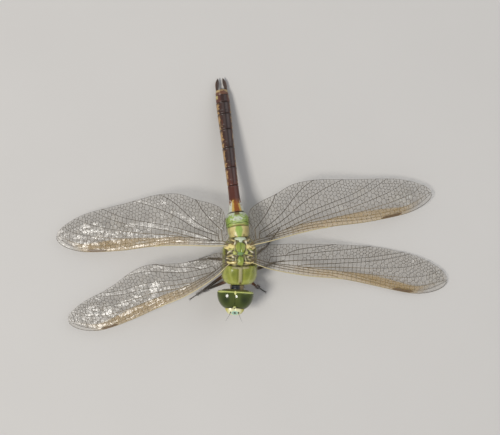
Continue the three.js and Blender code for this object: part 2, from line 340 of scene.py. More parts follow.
class DragonflyColours(bpy.types.PropertyGroup):
    membrane: colour("Membrane", "Clear sheet of the wings", (0.27, 0.225, 0.16))
    amber: colour("Amber", "Sheet near the leading edge", (0.46, 0.27, 0.025))
    # Painted glint: a pale colour painted into the wing sheets in patches, standing in for light reflected
    # off them.
    glint: colour("Glint", "Pale bloom on the sheet", (0.85, 0.85, 0.8))
    vein: colour("Vein", "Small veins", (0.045, 0.034, 0.025))
    gold_vein: colour("Front vein", "Long veins near the leading edge", (0.2, 0.13, 0.04))
    costa: colour("Leading edge", "The leading edge up to the spot near the tip", (0.65, 0.55, 0.3))
    stigma: colour("Wing spot", "The spot near each wing's tip", (0.19, 0.12, 0.06))
    thorax: colour("Thorax", "The front lobes and the sides", (0.29, 0.31, 0.04))
    thorax_light: colour("Thorax, light", "The paler edges of the lobes", (0.48, 0.5, 0.14))
    carina: colour("Keel", "The pale keel between the lobes", (0.42, 0.38, 0.2))
    plate: colour("Wing plate", "The small plates at the wing roots", (0.88, 0.74, 0.31))
    plate_pale: colour("Wing plate, pale", "The palest small plates", (0.88, 0.83, 0.62))
    # Partly painted shade: the skin between the plates is painted near black, for its own dark colour and for
    # the shade between the raised plates.
    gap: colour("Gap", "Dark skin between the plates", (0.055, 0.04, 0.02))
    back: colour("Back", "The green plates between the wings", (0.3, 0.36, 0.06))
    back_blue: colour("Back, blue", "The bluish front of the large back plate", (0.2, 0.33, 0.12))
    waist: colour("Waist", "The blue-white plate at the waist", (0.68, 0.76, 0.58))
    # Painted shade: the collar is coloured near black with a blue cast because it lies in shade between the
    # head and the thorax.
    neck: colour("Neck", "The blue-black collar", (0.02, 0.023, 0.03))
    eye: colour("Eye", "The top of the eyes", (0.07, 0.092, 0.012))
    eye_dark: colour("Eye, dark", "The deep middle of the eyes", (0.028, 0.04, 0.008))
    eye_rim: colour("Eye rim", "The light rim behind the eyes", (0.78, 0.82, 0.26))
    face: colour("Face", "The cream face", (0.76, 0.74, 0.46))
    face_blue: colour("Face, blue", "The blue-green patch of the face", (0.22, 0.5, 0.45))
    black: colour("Black", "Bands of the face", (0.012, 0.011, 0.01))
    belly_green: colour("Abdomen, green", "The first two rings", (0.34, 0.47, 0.1))
    belly_cream: colour("Abdomen, cream", "The sides of the first ring", (0.68, 0.58, 0.24))
    belly_white: colour("Abdomen, white", "The pale base of the third ring", (0.66, 0.68, 0.6))
    belly_orange: colour("Abdomen, orange", "The orange-brown start of the dark stripe", (0.3, 0.085, 0.012))
    belly_red: colour("Abdomen, red-brown", "The front of the slender part", (0.105, 0.028, 0.016))
    belly_brown: colour("Abdomen, brown", "The rear of the slender part", (0.047, 0.022, 0.017))
    belly_tan: colour("Abdomen, tan", "The spots along the sides", (0.46, 0.28, 0.12))
    leg: colour("Leg", "Shins and feet", (0.03, 0.023, 0.018))
    thigh: colour("Thigh", "The red-brown root of the legs", (0.16, 0.06, 0.03))
    hair: colour("Hair", "Hairs of the thorax", (0.6, 0.56, 0.42))
    floor: colour("Floor", "The pale floor", (0.6, 0.58, 0.55))


# ---------- wings ----------
WING_EDGES = {
    "fore": (
        profile(
            [(-0.06, 0), (0, 0), (0.1, 0.026), (0.3, 0.046), (0.47, 0.046), (0.6, 0.06), (0.74, 0.078)]
            + [(0.84, 0.086), (1, 0.086)]
        ),
        profile(
            [(-0.06, -0.03), (0, -0.035), (0.04, -0.078), (0.15, -0.1), (0.3, -0.115), (0.5, -0.128)]
            + [(0.65, -0.13), (0.8, -0.112), (1, -0.075)]
        ),
    ),
    "hind": (
        profile(
            [(-0.06, 0), (0, 0), (0.1, 0.006), (0.3, 0.012), (0.45, 0.026), (0.6, 0.051), (0.74, 0.066)]
            + [(0.84, 0.071), (1, 0.071)]
        ),
        profile(
            [(-0.06, -0.03), (0.005, -0.04), (0.025, -0.12), (0.05, -0.178), (0.1, -0.203), (0.2, -0.222)]
            + [(0.3, -0.247), (0.42, -0.238), (0.6, -0.188), (0.78, -0.14), (1, -0.075)]
        ),
    ),
}
# The long veins from the front edge to the rear one. Each row is a place along the wing and, there, the share
# of the wing's width that lies in front of the vein. A vein that has no row yet runs in the one before it.
VEINS = {
    "fore": {
        "subcosta": [(-0.03, 0.3), (0.03, 0.15), (0.12, 0.125), (0.3, 0.1), (0.42, 0.07), (0.455, 0)],
        "radius": [(-0.03, 0.5), (0.03, 0.3), (0.12, 0.22), (0.3, 0.18), (0.45, 0.13), (0.6, 0.085)]
        + [(0.8, 0.08), (0.9, 0.105), (1, 0.35)],
        "first_sector": [(0.1, 0.23), (0.2, 0.27), (0.3, 0.25), (0.45, 0.21), (0.6, 0.15), (0.8, 0.165)]
        + [(0.9, 0.25), (1, 0.5)],
        "second_sector": [(0.46, 0.205), (0.6, 0.25), (0.7, 0.31), (0.8, 0.39), (0.9, 0.56), (0.965, 1)],
        "between_sector": [(0.28, 0.265), (0.45, 0.33), (0.6, 0.42), (0.7, 0.52), (0.8, 0.67), (0.9, 1)],
        "third_sector": [(0.24, 0.27), (0.3, 0.36), (0.45, 0.45), (0.6, 0.6), (0.7, 0.76), (0.8, 1)],
        "media": [(0.1, 0.24), (0.2, 0.42), (0.3, 0.5), (0.45, 0.58), (0.6, 0.71), (0.7, 0.87), (0.765, 1)],
        "media_rear": [(0.1, 0.5), (0.2, 0.62), (0.3, 0.72), (0.45, 0.84), (0.55, 0.94), (0.6, 1)],
        "cubitus": [(0.18, 0.66), (0.24, 0.82), (0.33, 0.92), (0.42, 1)],
    },
    "hind": {
        "subcosta": [(-0.03, 0.25), (0.03, 0.075), (0.12, 0.062), (0.3, 0.055), (0.38, 0.035), (0.41, 0)],
        "radius": [(-0.03, 0.45), (0.03, 0.15), (0.12, 0.115), (0.3, 0.105), (0.45, 0.085), (0.6, 0.07)]
        + [(0.8, 0.08), (0.9, 0.11), (1, 0.35)],
        "first_sector": [(0.09, 0.13), (0.2, 0.165), (0.3, 0.16), (0.45, 0.145), (0.6, 0.135), (0.8, 0.165)]
        + [(0.9, 0.25), (1, 0.5)],
        "second_sector": [(0.42, 0.15), (0.6, 0.24), (0.7, 0.31), (0.8, 0.4), (0.9, 0.56), (0.965, 1)],
        "between_sector": [(0.26, 0.165), (0.45, 0.25), (0.6, 0.4), (0.7, 0.52), (0.8, 0.68), (0.9, 1)],
        "third_sector": [(0.2, 0.17), (0.3, 0.24), (0.45, 0.37), (0.6, 0.56), (0.7, 0.75), (0.79, 1)],
        "media": [(0.09, 0.14), (0.16, 0.24), (0.3, 0.34), (0.45, 0.47), (0.6, 0.68), (0.7, 0.9), (0.735, 1)],
        "media_rear": [(0.06, 0.26), (0.16, 0.34), (0.3, 0.54), (0.45, 0.79), (0.56, 1)],
        "cubitus": [(0.06, 0.3), (0.16, 0.45), (0.24, 0.62), (0.34, 0.86), (0.41, 1)],
        "anal": [(0.04, 0.42), (0.1, 0.58), (0.16, 0.8), (0.2, 1)],
    },
}
# How far each long vein stands above the pleated sheet's middle, or lies below it, as a share of the depth.
PLEATS = {
    "costa": 0.6, "subcosta": -1, "radius": 1, "first_sector": -0.6, "second_sector": -0.6,
    "between_sector": 0.7, "third_sector": -0.8, "media": 0.8, "media_rear": -0.8, "cubitus": 0.7,
    "anal": 0.6, "rear_edge": 0,
}
SPAN = (-0.028, 0.9985)  # the stretch of u that a wing's mesh covers
KNOTS = {"fore": 0.455, "hind": 0.41}  # u of the thick joint in the leading edge
SPOTS = {"fore": (0.735, 0.83), "hind": (0.705, 0.812)}  # u of both ends of the dark spot
HINGE_HEIGHT = 12.6
TIP_HEIGHT = 1.1
DROOP_POWER = 1.2
CAMBER = 0.02  # arch across the sheet, as a share of its width
TWIST = 0.1  # slope of the sheet down to its rear edge at the root
NET_LIFT = 0.03  # how far the small veins stand above the sheet's middle


class Wing:
    """The sheet of one wing: u runs from hinge to tip, and v from the front edge, 0, to the rear edge, 1.

    Sweep is the turn towards the tail in degrees, width a factor on the wing's breadth, reach the share of
    the length where the droop ends, bow a curve of the whole wing forward, and bulge a curve of its rear
    edge backward.
    """

    def __init__(self, kind, side, hinge, sweep, length, width, reach, bow=0.0, bulge=0.0):
        self.kind, self.side, self.hinge, self.length, self.width = kind, side, hinge, length, width
        self.turn, self.reach, self.bow, self.bulge = math.radians(sweep), reach, bow, bulge
        self.veins = [lambda u: np.zeros_like(u)]
        self.names = ["costa"]
        for name, rows in VEINS[kind].items():
            self.names.append(name)
            self.veins.append(self.vein_line(rows))
        self.names.append("rear_edge")
        self.veins.append(lambda u: np.ones_like(u))

    def vein_line(self, rows):
        """The course of a vein, which never runs ahead of the vein before it."""
        before, curve, first, last = self.veins[-1], profile(rows), rows[0][0], rows[-1]

        def line(u):
            share = np.where(u < first, 0.0, curve(u))
            if last[1] in (0, 1):
                share = np.where(u > last[0], last[1], share)
            return np.minimum(np.maximum(share, before(u)), 1.0)

        return line

    def edges(self, u):
        """How far the front and rear edges lie ahead of the hinge-tip line, in millimetres."""
        taper = np.maximum(1 - np.maximum(0, (u - 0.8) / 0.2) ** 2.2, 0) ** 0.5
        bow = self.bow * np.sin(np.pi * np.maximum(u, 0))
        bulge = self.bulge * np.exp(-(((u - 0.48) / 0.13) ** 2) / 2)
        front, rear = WING_EDGES[self.kind]
        return (
            (front(u) * self.width * taper + bow) * self.length,
            (rear(u) * self.width * taper + bow - bulge) * self.length,
        )

    def pleat(self, u, v):
        """The height of the pleated sheet over its middle, as a share of the pleat depth."""
        lines = np.array([vein(u) for vein in self.veins])
        tops = np.array([PLEATS[name] for name in self.names], float)
        height = np.zeros_like(u)
        for k in range(len(lines) - 1):
            gap = lines[k + 1] - lines[k]
            inside = (v >= lines[k]) & (v <= lines[k + 1]) & (gap > 1e-6)
            share = np.where(inside, (v - lines[k]) / np.maximum(gap, 1e-6), 0)
            height = np.where(inside, lerp(tops[k], tops[k + 1], share), height)
        return height * np.clip(1.15 - u, 0.1, 1) * np.clip((u + 0.03) / 0.08, 0, 1)

    def lay(self, u, v, depth=0.0, lift=0.0):
        """Points of the sheet in millimetres."""
        u, v = np.asarray(u, float), np.asarray(v, float)
        front, rear = self.edges(u)
        out, ahead = u * self.length, lerp(front, rear, v)
        fall = np.maximum(0, 1 - np.maximum(u, 0) / self.reach) ** DROOP_POWER
        arch = CAMBER * (front - rear) * 4 * v * (1 - v)
        z = lerp(TIP_HEIGHT, HINGE_HEIGHT, fall) + arch + TWIST * ahead * (1 - np.maximum(u, 0)) + lift
        if depth:
            z = z + depth * self.pleat(u, v)
        x = self.hinge[0] + self.side * (out * math.cos(self.turn) + ahead * math.sin(self.turn))
        y = self.hinge[1] + out * math.sin(self.turn) - ahead * math.cos(self.turn)
        return np.stack((x, y, z), -1)


WINGS = {
    "wing_fore_left": Wing("fore", 1, (2.9, -3.4), -5.6, 60.8, 0.98, 0.62),
    "wing_fore_right": Wing("fore", -1, (-2.5, -3.7), -20.1, 52.9, 1.0, 1.12, bow=0.054, bulge=0.075),
    "wing_hind_left": Wing("hind", 1, (3.2, 1.3), 16.2, 57.6, 0.98, 1.12),
    "wing_hind_right": Wing("hind", -1, (-3.0, 1.3), 2.8, 52.9, 1.12, 1.12),
}


def cell_seeds(wing, cell):
    """The middle of each cell as (u, v, strip), and guard points outside the edges with strip -1."""
    seeds, guards = [], []
    narrowest = 0.3  # millimetres of a strip that still has cells
    rng = random.Random(7)
    for k in range(len(wing.veins) - 1):
        u, column = 0.015, 0
        while u < 0.992:
            at = np.array([u])
            low, high = float(wing.veins[k](at)[0]), float(wing.veins[k + 1](at)[0])
            front, rear = (float(e[0]) for e in wing.edges(at))
            chord = front - rear
            width = (high - low) * chord
            step = cell * (1.15 if k < 3 else 1.0)
            small = 1 - 0.2 * ease(0.7, 1.0, high) if k > 2 else 1.0
            size = cell * small * (1 - 0.08 * ease(0.5, 1, u))
            if width > narrowest:
                rows = max(1, round(width / size))
                for row in range(rows):
                    shift = 0.25 * (1 if column % 2 else -1) if rows > 1 else 0
                    share = (row + 0.5 + shift * (rng.random() * 0.4 + 0.8)) / rows
                    jitter = (rng.random() - 0.5) * (0.12 if rows == 1 else 0.3) * step / wing.length
                    seeds.append((u + jitter, low + (high - low) * share, k))
                half = 0.5 * width / rows / chord
                if k == 0:
                    guards.append((u, -half, -1))
                if high > 0.999:
                    guards.append((u, 1 + half, -1))
            column += 1
            u += (step if width / size < 1.5 else size * 0.9) / wing.length
    for i in range(25):
        guards.append((1.012, i / 24, -1))
        guards.append((-0.005, i / 24, -1))
    return seeds + guards


def cell_walls(wing, cell):
    """The small veins: pairs of (u, v) points round the cells, which end on the long veins."""
    seeds, longest = cell_seeds(wing, cell), 2.2 * cell
    u, v = np.array([s[0] for s in seeds]), np.array([s[1] for s in seeds])
    front, rear = wing.edges(u)
    flat = [Vector((x, y)) for x, y in zip(u * wing.length, lerp(front, rear, v))]
    _, _, faces, origin, _, _ = geometry.delaunay_2d_cdt(flat, [], [], 0, 1e-6)
    sharing, centres = {}, []
    for face in faces:
        corners = [origin[i][0] for i in face]
        centres.append((sum(u[c] for c in corners) / 3, sum(v[c] for c in corners) / 3))
        for i in range(3):
            edge = tuple(sorted((corners[i], corners[i - 1])))
            sharing.setdefault(edge, []).append((len(centres) - 1, corners[i - 2]))
    walls = []
    for (a, b), both in sharing.items():
        strip = seeds[a][2]
        if strip < 0 or strip != seeds[b][2] or len(both) < 2:
            continue
        if (flat[a] - flat[b]).length > longest:
            continue
        ends = []
        for triangle, third in both:
            if seeds[third][2] == strip:
                ends.append(centres[triangle])
                continue
            middle = (u[a] + u[b]) / 2
            other = seeds[third][2]
            ahead = other < strip if other >= 0 else v[third] < (v[a] + v[b]) / 2
            line = wing.veins[strip if ahead else strip + 1]
            ends.append((middle, float(line(np.array([middle]))[0])))
        walls.append(ends)
    return walls


def ridge_line(wing, name):
    """The course of a long vein as u and v arrays, without the stretch that it shares with the one before."""
    count = 110
    k = wing.names.index(name)
    u = np.linspace(*SPAN, count)
    v = wing.veins[k](u)
    if name in ("costa", "rear_edge"):
        return u, v
    own = (v > wing.veins[k - 1](u) + 1e-4) & (v < 0.9999)
    found = np.flatnonzero(own)
    span = slice(max(found[0] - 1, 0), min(found[-1] + 2, count))
    return u[span], v[span]


def membrane_finish(colours, solid):
    """The clear sheet, with a pale glint painted into it in patches; solid is how much of it each of its two
    faces stops.
    """
    made = Finish("membrane", Roughness=0.17, IOR=1.75, Alpha=solid)
    # The pale glint is painted into the sheet's colour in ragged patches and flecks. It is a painted
    # reflection of light off the wing, not a colour of the sheet.
    glint_streaks = made.ramp(made.grain(1.2, 4, (1.6, 1, 1)), (0.36, 0.2), (0.52, 1.0))
    glint_flecks = made.ramp(made.cells(0.9), (0.15, 1.0), (0.45, 0.0))
    bloom = made.times(made.times(glint_streaks, made.mask("bloom")), made.spread(glint_flecks, 0.45, 1.0))
    smoke = made.mix(made.grain(2.0), colours.membrane, tuple(c * 1.35 for c in colours.membrane))
    body = made.mix(made.mask("amber"), smoke, colours.amber)
    colour_out = made.mix(bloom, body, colours.glint)
    waves = made.relief(made.grain(7.0, 2, (1.5, 1, 1)), 2.0)
    bumps = made.relief(made.cells(1.3, "SMOOTH_F1"), 0.16, under=waves)
    return made.done(Base_Color=colour_out, Normal=made.relief(made.grain(0.45, 4), 0.05, under=bumps))


def vein_finish(colours):
    made = Finish("vein", Roughness=0.35)
    base = made.mix(made.mask("gold"), colours.vein, colours.gold_vein)
    pale = made.mix(made.mask("pale"), base, colours.costa)
    worn = made.mix(made.spread(made.grain(0.5), 0.0, 0.35), pale, (0.3, 0.25, 0.16))
    return made.done(Base_Color=worn, Normal=made.relief(made.grain(0.12), 0.02))


def mark(piece, name, values):
    """Stores one value for each point of a piece, for its material to read."""
    attribute = piece.data.attributes.new(name, "FLOAT", "POINT")
    attribute.data.foreach_set("value", np.asarray(values, np.float32))


def thread_shares(piece, wing):
    """Where each point of a piece lies on the wing, as u and v."""
    inverse = TO_FRAME.inverted()
    points = np.array([inverse @ v.co for v in piece.data.vertices])
    x = (points[:, 0] - wing.hinge[0]) * wing.side
    y = points[:, 1] - wing.hinge[1]
    out = x * math.cos(wing.turn) + y * math.sin(wing.turn)
    ahead = x * math.sin(wing.turn) - y * math.cos(wing.turn)
    u = out / wing.length
    front, rear = wing.edges(np.clip(u, -0.03, 0.999))
    return u, (front - ahead) / np.maximum(front - rear, 1e-3)


def gold_share(wing, u, v, reach=1.0, soft=0.03):
    """How golden the wing is, which fills the strips between its leading edge and the first veins."""
    first, second = (wing.veins[wing.names.index(name)](u) for name in ("first_sector", "second_sector"))
    edge = lerp(second, first, np.clip((u - 0.6) / 0.25, 0, 1)) * reach
    ahead = np.clip((edge + soft / 2 - v) / soft, 0, 1)
    return ahead * np.clip((u - 0.08) / 0.3, 0, 1) * np.clip((0.9 - u + 0.2 * v) / 0.1, 0, 1)


# The patches of each wing where a glint is painted into its sheet, as a painted reflection: u, v, reach along
# and across, and strength.
GLINT_PATCHES = {
    "wing_hind_left": [(0.85, 0.42, 0.08, 0.26, 1.0), (0.52, 0.42, 0.05, 0.14, 0.7)]
    + [(0.62, 0.7, 0.06, 0.2, 0.5)],
    "wing_fore_left": [(0.95, 0.5, 0.04, 0.4, 0.9), (0.4, 0.6, 0.06, 0.2, 0.4)],
    "wing_hind_right": [(0.72, 0.5, 0.16, 0.3, 0.9), (0.52, 0.12, 0.07, 0.06, 0.8)]
    + [(0.4, 0.6, 0.1, 0.2, 0.5)],
    "wing_fore_right": [(0.8, 0.45, 0.14, 0.35, 1.0), (0.5, 0.5, 0.14, 0.25, 0.9)]
    + [(0.3, 0.3, 0.1, 0.15, 0.6)],
}


def glint_share(name, u, v):
    """How strongly a glint is painted on a wing, in ragged patches."""
    wing, most = WINGS[name], np.zeros_like(u)
    for at_u, at_v, long, wide, strength in GLINT_PATCHES[name]:
        most = np.maximum(most, strength * np.exp(-(((u - at_u) / long) ** 2) - ((v - at_v) / wide) ** 2))
    places = zip(u * wing.length / 3, v * 5)
    patch = np.array([noise.noise(Vector((a, b, wing.side + len(wing.kind)))) for a, b in places])
    return most * np.clip((patch + 0.35) / 0.5, 0, 1)


def fill_sheet(skin, materials):
    """Gives each face of a wing the denser sheets where it's amber or has a painted glint."""
    values = np.zeros(len(skin.data.vertices), np.float32)
    most = np.zeros_like(values)
    for name in ("amber", "bloom"):
        skin.data.attributes[name].data.foreach_get("value", values)
        most = np.maximum(most, values)
    for material in materials[1:]:
        skin.data.materials.append(material)
    level = [np.mean([most[i] for i in face.vertices]) for face in skin.data.polygons]
    skin.data.polygons.foreach_set("material_index", np.digitize(level, (0.22, 0.5)).astype(np.int32))


def add_skin(name, sizes, materials):
    """The pleated clear sheet of a wing."""
    wing = WINGS[name]
    across, along = 40, 150
    deselect()
    bpy.ops.mesh.primitive_grid_add(x_subdivisions=along, y_subdivisions=across, size=1, calc_uvs=True)
    skin = bpy.context.object
    skin.name = skin.data.name = name + "_membrane"
    flat = np.array([vertex.co for vertex in skin.data.vertices])
    u = lerp(*SPAN, np.sin((flat[:, 0] + 0.5) * np.pi / 2) ** 1.15)
    v = flat[:, 1] + 0.5
    points = wing.lay(u, v, sizes.pleat_depth / MM)
    skin.data.vertices.foreach_set("co", np.array([TO_FRAME @ Vector(point) for point in points]).ravel())
    mark(skin, "amber", gold_share(wing, u, v))
    # Marks the patches where a glint is painted into the sheet, standing in for reflected light.
    mark(skin, "bloom", glint_share(name, u, v))
    apply(skin, "SOLIDIFY", thickness=sizes.membrane_thickness, offset=0)
    close_up(skin, SHEET_GAP)
    finish(skin, materials[0], "wing", name)
    fill_sheet(skin, materials)


def add_net(name, sizes, material):
    """The small veins round the cells of a wing."""
    wing = WINGS[name]
    ends = np.array(cell_walls(wing, sizes.cell_size / MM)).reshape(-1, 2)
    placed = wing.lay(ends[:, 0], ends[:, 1], sizes.pleat_depth / MM, NET_LIFT).reshape(-1, 2, 3)
    net = threads(name + "_net", [[(a, 1.0), (b, 1.0)] for a, b in placed], sizes.vein_thickness / MM)
    u, v = thread_shares(net, wing)
    mark(net, "gold", 0.7 * gold_share(wing, u, v, 1.4, 0.15))
    mark(net, "pale", np.zeros(len(u)))
    finish(net, material, "wing")


def vein_taper(wing, vein, u):
    """The thickness along a long vein: stout at the root and the knot, and thin at the tip."""
    thick = 1.35 if vein == "costa" else 0.42 if vein == "rear_edge" else 1.0
    taper = lerp(thick, thick * 0.4, np.clip(u, 0, 1) ** 0.7)
    if vein != "rear_edge":
        taper = taper * (1 + 1.2 * np.clip(1 - (u - SPAN[0]) / 0.06, 0, 1))
    if vein in ("costa", "subcosta"):
        taper = taper * (1 + 0.7 * np.exp(-(((u - KNOTS[wing.kind]) / 0.01) ** 2)))
    return taper


def add_ribs(name, sizes, material):
    """The long veins of a wing and its edges."""
    wing = WINGS[name]
    strands = []
    for vein in wing.names:
        u, v = ridge_line(wing, vein)
        line = wing.lay(u, v, sizes.pleat_depth / MM)
        strands.append(list(zip(line, vein_taper(wing, vein, u))))
    ribs = threads(name + "_ribs", strands, sizes.main_vein_thickness / MM, sides=1)
    u, v = thread_shares(ribs, wing)
    lead = (v < 0.02) * np.clip((0.76 - u) / 0.06, 0, 1)
    root = 0.9 * np.clip(1 - u / 0.08, 0, 1)
    mark(ribs, "gold", np.clip(gold_share(wing, u, v, 1.6, 0.2) + root + lead, 0, 1))
    mark(ribs, "pale", lead * np.where(u < KNOTS[wing.kind] + 0.02, 1.0, 0.4))
    finish(ribs, material, "wing")


def add_spot(name, sizes, material):
    """The dark spot between the leading edge and the radius, with tapering ends."""
    wing = WINGS[name]
    low, high = SPOTS[wing.kind]
    radius = wing.veins[wing.names.index("radius")]

    def spot(s, t):
        u = np.array([lerp(low, high, t) + 0.012 * (s - 0.5)])
        half = 0.36 * (1 - abs(2 * t - 1) ** 6) ** 0.5
        v = float(radius(u)[0]) * lerp(0.42 - half, 0.42 + half, s)
        return wing.lay(u, np.array([v]), sizes.pleat_depth / MM, 0.02)[0]

    stigma = sheet(name + "_spot", 8, 40, spot)
    apply(stigma, "SOLIDIFY", thickness=0.14 * MM, offset=0)
    apply(stigma, "BEVEL", width=0.03 * MM, segments=2)
    close_up(stigma, SHEET_GAP)
    finish(stigma, material, "wing")


def stigma_finish(colours):
    made = Finish("stigma", Roughness=0.4)
    tone = made.mix(made.grain(0.6, 4), colours.stigma, tuple(c * 0.45 for c in colours.stigma))
    return made.done(Base_Color=tone, Normal=made.relief(made.grain(0.2), 0.03))


# ---------- thorax ----------
THORAX_ROWS = [  # y, half width, height of the underside and height of the back
    (-10.5, 2.4, 6.4, 9.6), (-10.1, 3.6, 5.2, 10.6), (-9.2, 4.6, 4.3, 11.6), (-7.8, 5.15, 3.7, 12.6),
    (-6.2, 5.2, 3.4, 13.4), (-4.4, 5.2, 3.4, 13.8), (-2.2, 5.2, 3.7, 13.9), (-0.2, 5.1, 4.3, 13.7),
    (1.6, 4.6, 5.0, 13.3), (3.0, 3.7, 5.7, 12.7), (3.9, 2.9, 6.5, 12.0),
]
THORAX_CURVES = [profile([(row[0], row[i]) for row in THORAX_ROWS]) for i in (1, 2, 3)]
THORAX_CAP = 0.04  # the share of v that each closed end takes
NECK_CENTRE = (-0.7, -11.2, 8.2)
COLLAR_SIDE = (0.36, 0.27, 0.15)
# Plates of the back, seen from above: distance from the middle, y, half sizes across and along the body
# before the plate is turned, turn in degrees, rise and colour.
BACK_PLATES = [
    (0, -3.1, 0.95, 1.4, 0, 0.45, "back"),
    (0, 0.85, 1.45, 1.55, 0, 0.5, "back"),
    (0, -1.05, 0.9, 0.5, 0, 0.25, "back_blue"),
    (0, 3.45, 1.75, 0.5, 0, 0.35, "waist"),
    (0, 2.75, 0.5, 0.45, 0, 0.2, "waist"),
    (2.75, 1.25, 1.25, 0.72, 12, 0.55, "plate"),
    (4.1, 0.75, 0.85, 0.5, 30, 0.45, "plate"),
    (3.45, -0.55, 1.0, 0.3, -32, 0.45, "plate_pale"),
    (1.85, -0.7, 0.62, 0.5, 40, 0.35, "thorax_light"),
    (2.2, -3.7, 1.05, 0.45, -8, 0.55, "plate"),
    (3.6, -3.65, 0.75, 0.38, 12, 0.45, "plate"),
    (2.3, -1.95, 0.5, 0.3, 20, 0.3, "plate_pale"),
    (3.45, -1.75, 0.85, 0.2, -6, 0.35, "plate"),
    (3.9, -2.5, 0.6, 0.22, 10, 0.3, "plate_pale"),
    (2.75, -2.75, 0.6, 0.25, -14, 0.25, "carina"),
    (2.4, 2.95, 0.95, 0.32, 22, 0.4, "plate"),
    (3.75, 3.1, 0.7, 0.25, 35, 0.35, "plate_pale"),
    (1.75, 2.2, 0.3, 0.75, 8, 0.3, "plate_pale"),
    (3.4, 2.2, 0.9, 0.18, 20, 0.25, "thorax_light"),
    (3.0, 0.2, 0.8, 0.22, -20, 0.3, "thorax_light"),
    (1.55, -2.6, 0.18, 0.7, 12, 0.3, "carina"),
    (1.75, -0.1, 0.2, 0.55, -10, 0.25, "carina"),
    (1.9, -4.35, 0.9, 0.16, -6, 0.25, "carina"),
    (2.75, -1.35, 0.8, 0.16, -16, 0.22, "carina"),
]


def swell(value):
    """Makes a circle's sine or cosine that of a slightly squarer form."""
    return math.copysign(abs(value) ** (2 / 2.25), value)


def thorax_base(u, v):
    """A point of the smooth thorax and its outward direction; u = 0 is its underside and 0.5 its back."""
    share = min(max((v - THORAX_CAP) / (1 - 2 * THORAX_CAP), 0), 1)
    y = lerp(THORAX_ROWS[0][0], THORAX_ROWS[-1][0], share)
    half, bottom, top = (float(curve(y)) for curve in THORAX_CURVES)
    shrink = min(1, v / THORAX_CAP, (1 - v) / THORAX_CAP)
    angle = 2 * math.pi * u - math.pi / 2
    across, up = swell(math.cos(angle)), swell(math.sin(angle))
    widest = lerp(bottom, top, 0.46)
    height = top - widest if up > 0 else widest - bottom
    point = Vector((half * across * shrink, y, widest + up * height * shrink))
    return point, Vector((across / half, 0, up / height)).normalized(), up * shrink


def plate_hit(x, y):
    """The plate of the back at a place, how far inside its edge that is in millimetres, and its rise."""
    farthest, power, fillet = 2.3, 2.6, 0.1
    best, name, total, heights = -math.inf, None, 0.0, 0.0
    wobble = Vector((x * 1.1, y * 1.1, 3.0))
    x, y = x + 0.2 * noise.noise(wobble), y + 0.2 * noise.noise(wobble + Vector((5, 0, 0)))
    for px, py, half_x, half_y, turn, height, kind in BACK_PLATES:
        away_x, away_y = (abs(x) - px if px else x), y - py
        if abs(away_x) > farthest or abs(away_y) > farthest:
            continue
        c, s = math.cos(math.radians(turn)), math.sin(math.radians(turn))
        along, across = away_x * c + away_y * s, away_y * c - away_x * s
        reach = (abs(along / half_x) ** power + abs(across / half_y) ** power) ** (1 / power)
        deep = (1 - reach) * min(half_x, half_y)
        if deep > -6 * fillet:
            total += math.exp(deep / fillet)
            heights += height * math.exp(deep / fillet)
        if deep > best:
            best, name = deep, kind
    return name, fillet * math.log(total) if total else -1.0, heights / total if total else 0.0


def side_seams(y, z):
    """How close a place on the side is to one of the slanting seams: 1 on it."""
    return max(hump(y, top + 0.72 * (z - 12), 0.13) for top in (-4.3, -1.0, 2.0))


def thorax_skin(u, v):
    """A point of the thorax with its lobes, keel, plates and seams."""
    point, out, up = thorax_base(u, v)
    x, y, z = point
    lift = 0.0
    if up > 0.3:
        front = ease(-4.7, -5.3, y)
        lobes = 0.42 * hump(abs(x), 2.7, 1.9) * hump(y, -7.3, 2.4)
        keel = 0.2 * hump(x, 0, 0.28) - 0.32 * hump(abs(x), 0.75, 0.25)
        lift += front * (lobes + keel * ease(-10.4, -9.6, y))
        lift += 0.22 * hump(y, -5.3, 0.22) * ease(3.2, 2.4, abs(x))
        lift -= 0.45 * hump(y, -4.8 + 0.1 * abs(x), 0.22) * ease(5, 4.4, abs(x))
        if y > -4.7 and abs(x) < 4.9:
            kind, inside, rise = plate_hit(x, y)
            flat = ease(0.3, 0.5, up)
            lift += -0.28 * ease(-4.7, -4.3, y) * flat * ease(4.9, 4.5, abs(x))
            lift += flat * ((rise * 0.85 + 0.12) * ease(-0.06, 0.24, inside) + 0.2 * ease(0.1, 1.3, inside))
            lift += 0.07 * flat * noise.noise(Vector((x * 3.2, y * 3.2, 2))) * ease(0.05, -0.05, inside)
            if kind == "back":
                lift -= 0.16 * hump(x, 0, 0.13) * ease(-1.0, -0.5, y)
    if abs(x) > 2.5:
        lift -= 0.12 * side_seams(y, z) * ease(0.9, 0.6, up)
        lift += 0.12 * hump(y, -3.0 + 0.72 * (z - 12), 1.0) * ease(0.8, 0.4, up)
        lift -= 0.22 * hump(y, -4.6, 0.4) * hump(z, 7.2, 0.25)
    lift += 0.05 * noise.noise(point * 0.9) + 0.012 * noise.noise(point * 4)
    if up < -0.5:
        lift -= 0.15 * hump(x, 0, 0.3) + 0.1 * hump(y, -5, 0.2) + 0.1 * hump(y, -7.4, 0.2)
    fade = 0.03
    return point + out * lift * min(1, v / fade, (1 - v) / fade)


# A painted dark reflection for the middles of the glossy front lobes.
LOBE_REFLECTION_GREEN = (0.13, 0.16, 0.02)
STREAK_GREEN = (0.1, 0.16, 0.02)
RUST = (0.09, 0.03, 0.02)
OLIVE_SKIN = (0.2, 0.19, 0.06)
FRECKLE = (0.3, 0.17, 0.05)
PLATE_EDGE = (0.3, 0.22, 0.08)
UNDERSIDE = (0.2, 0.14, 0.05)


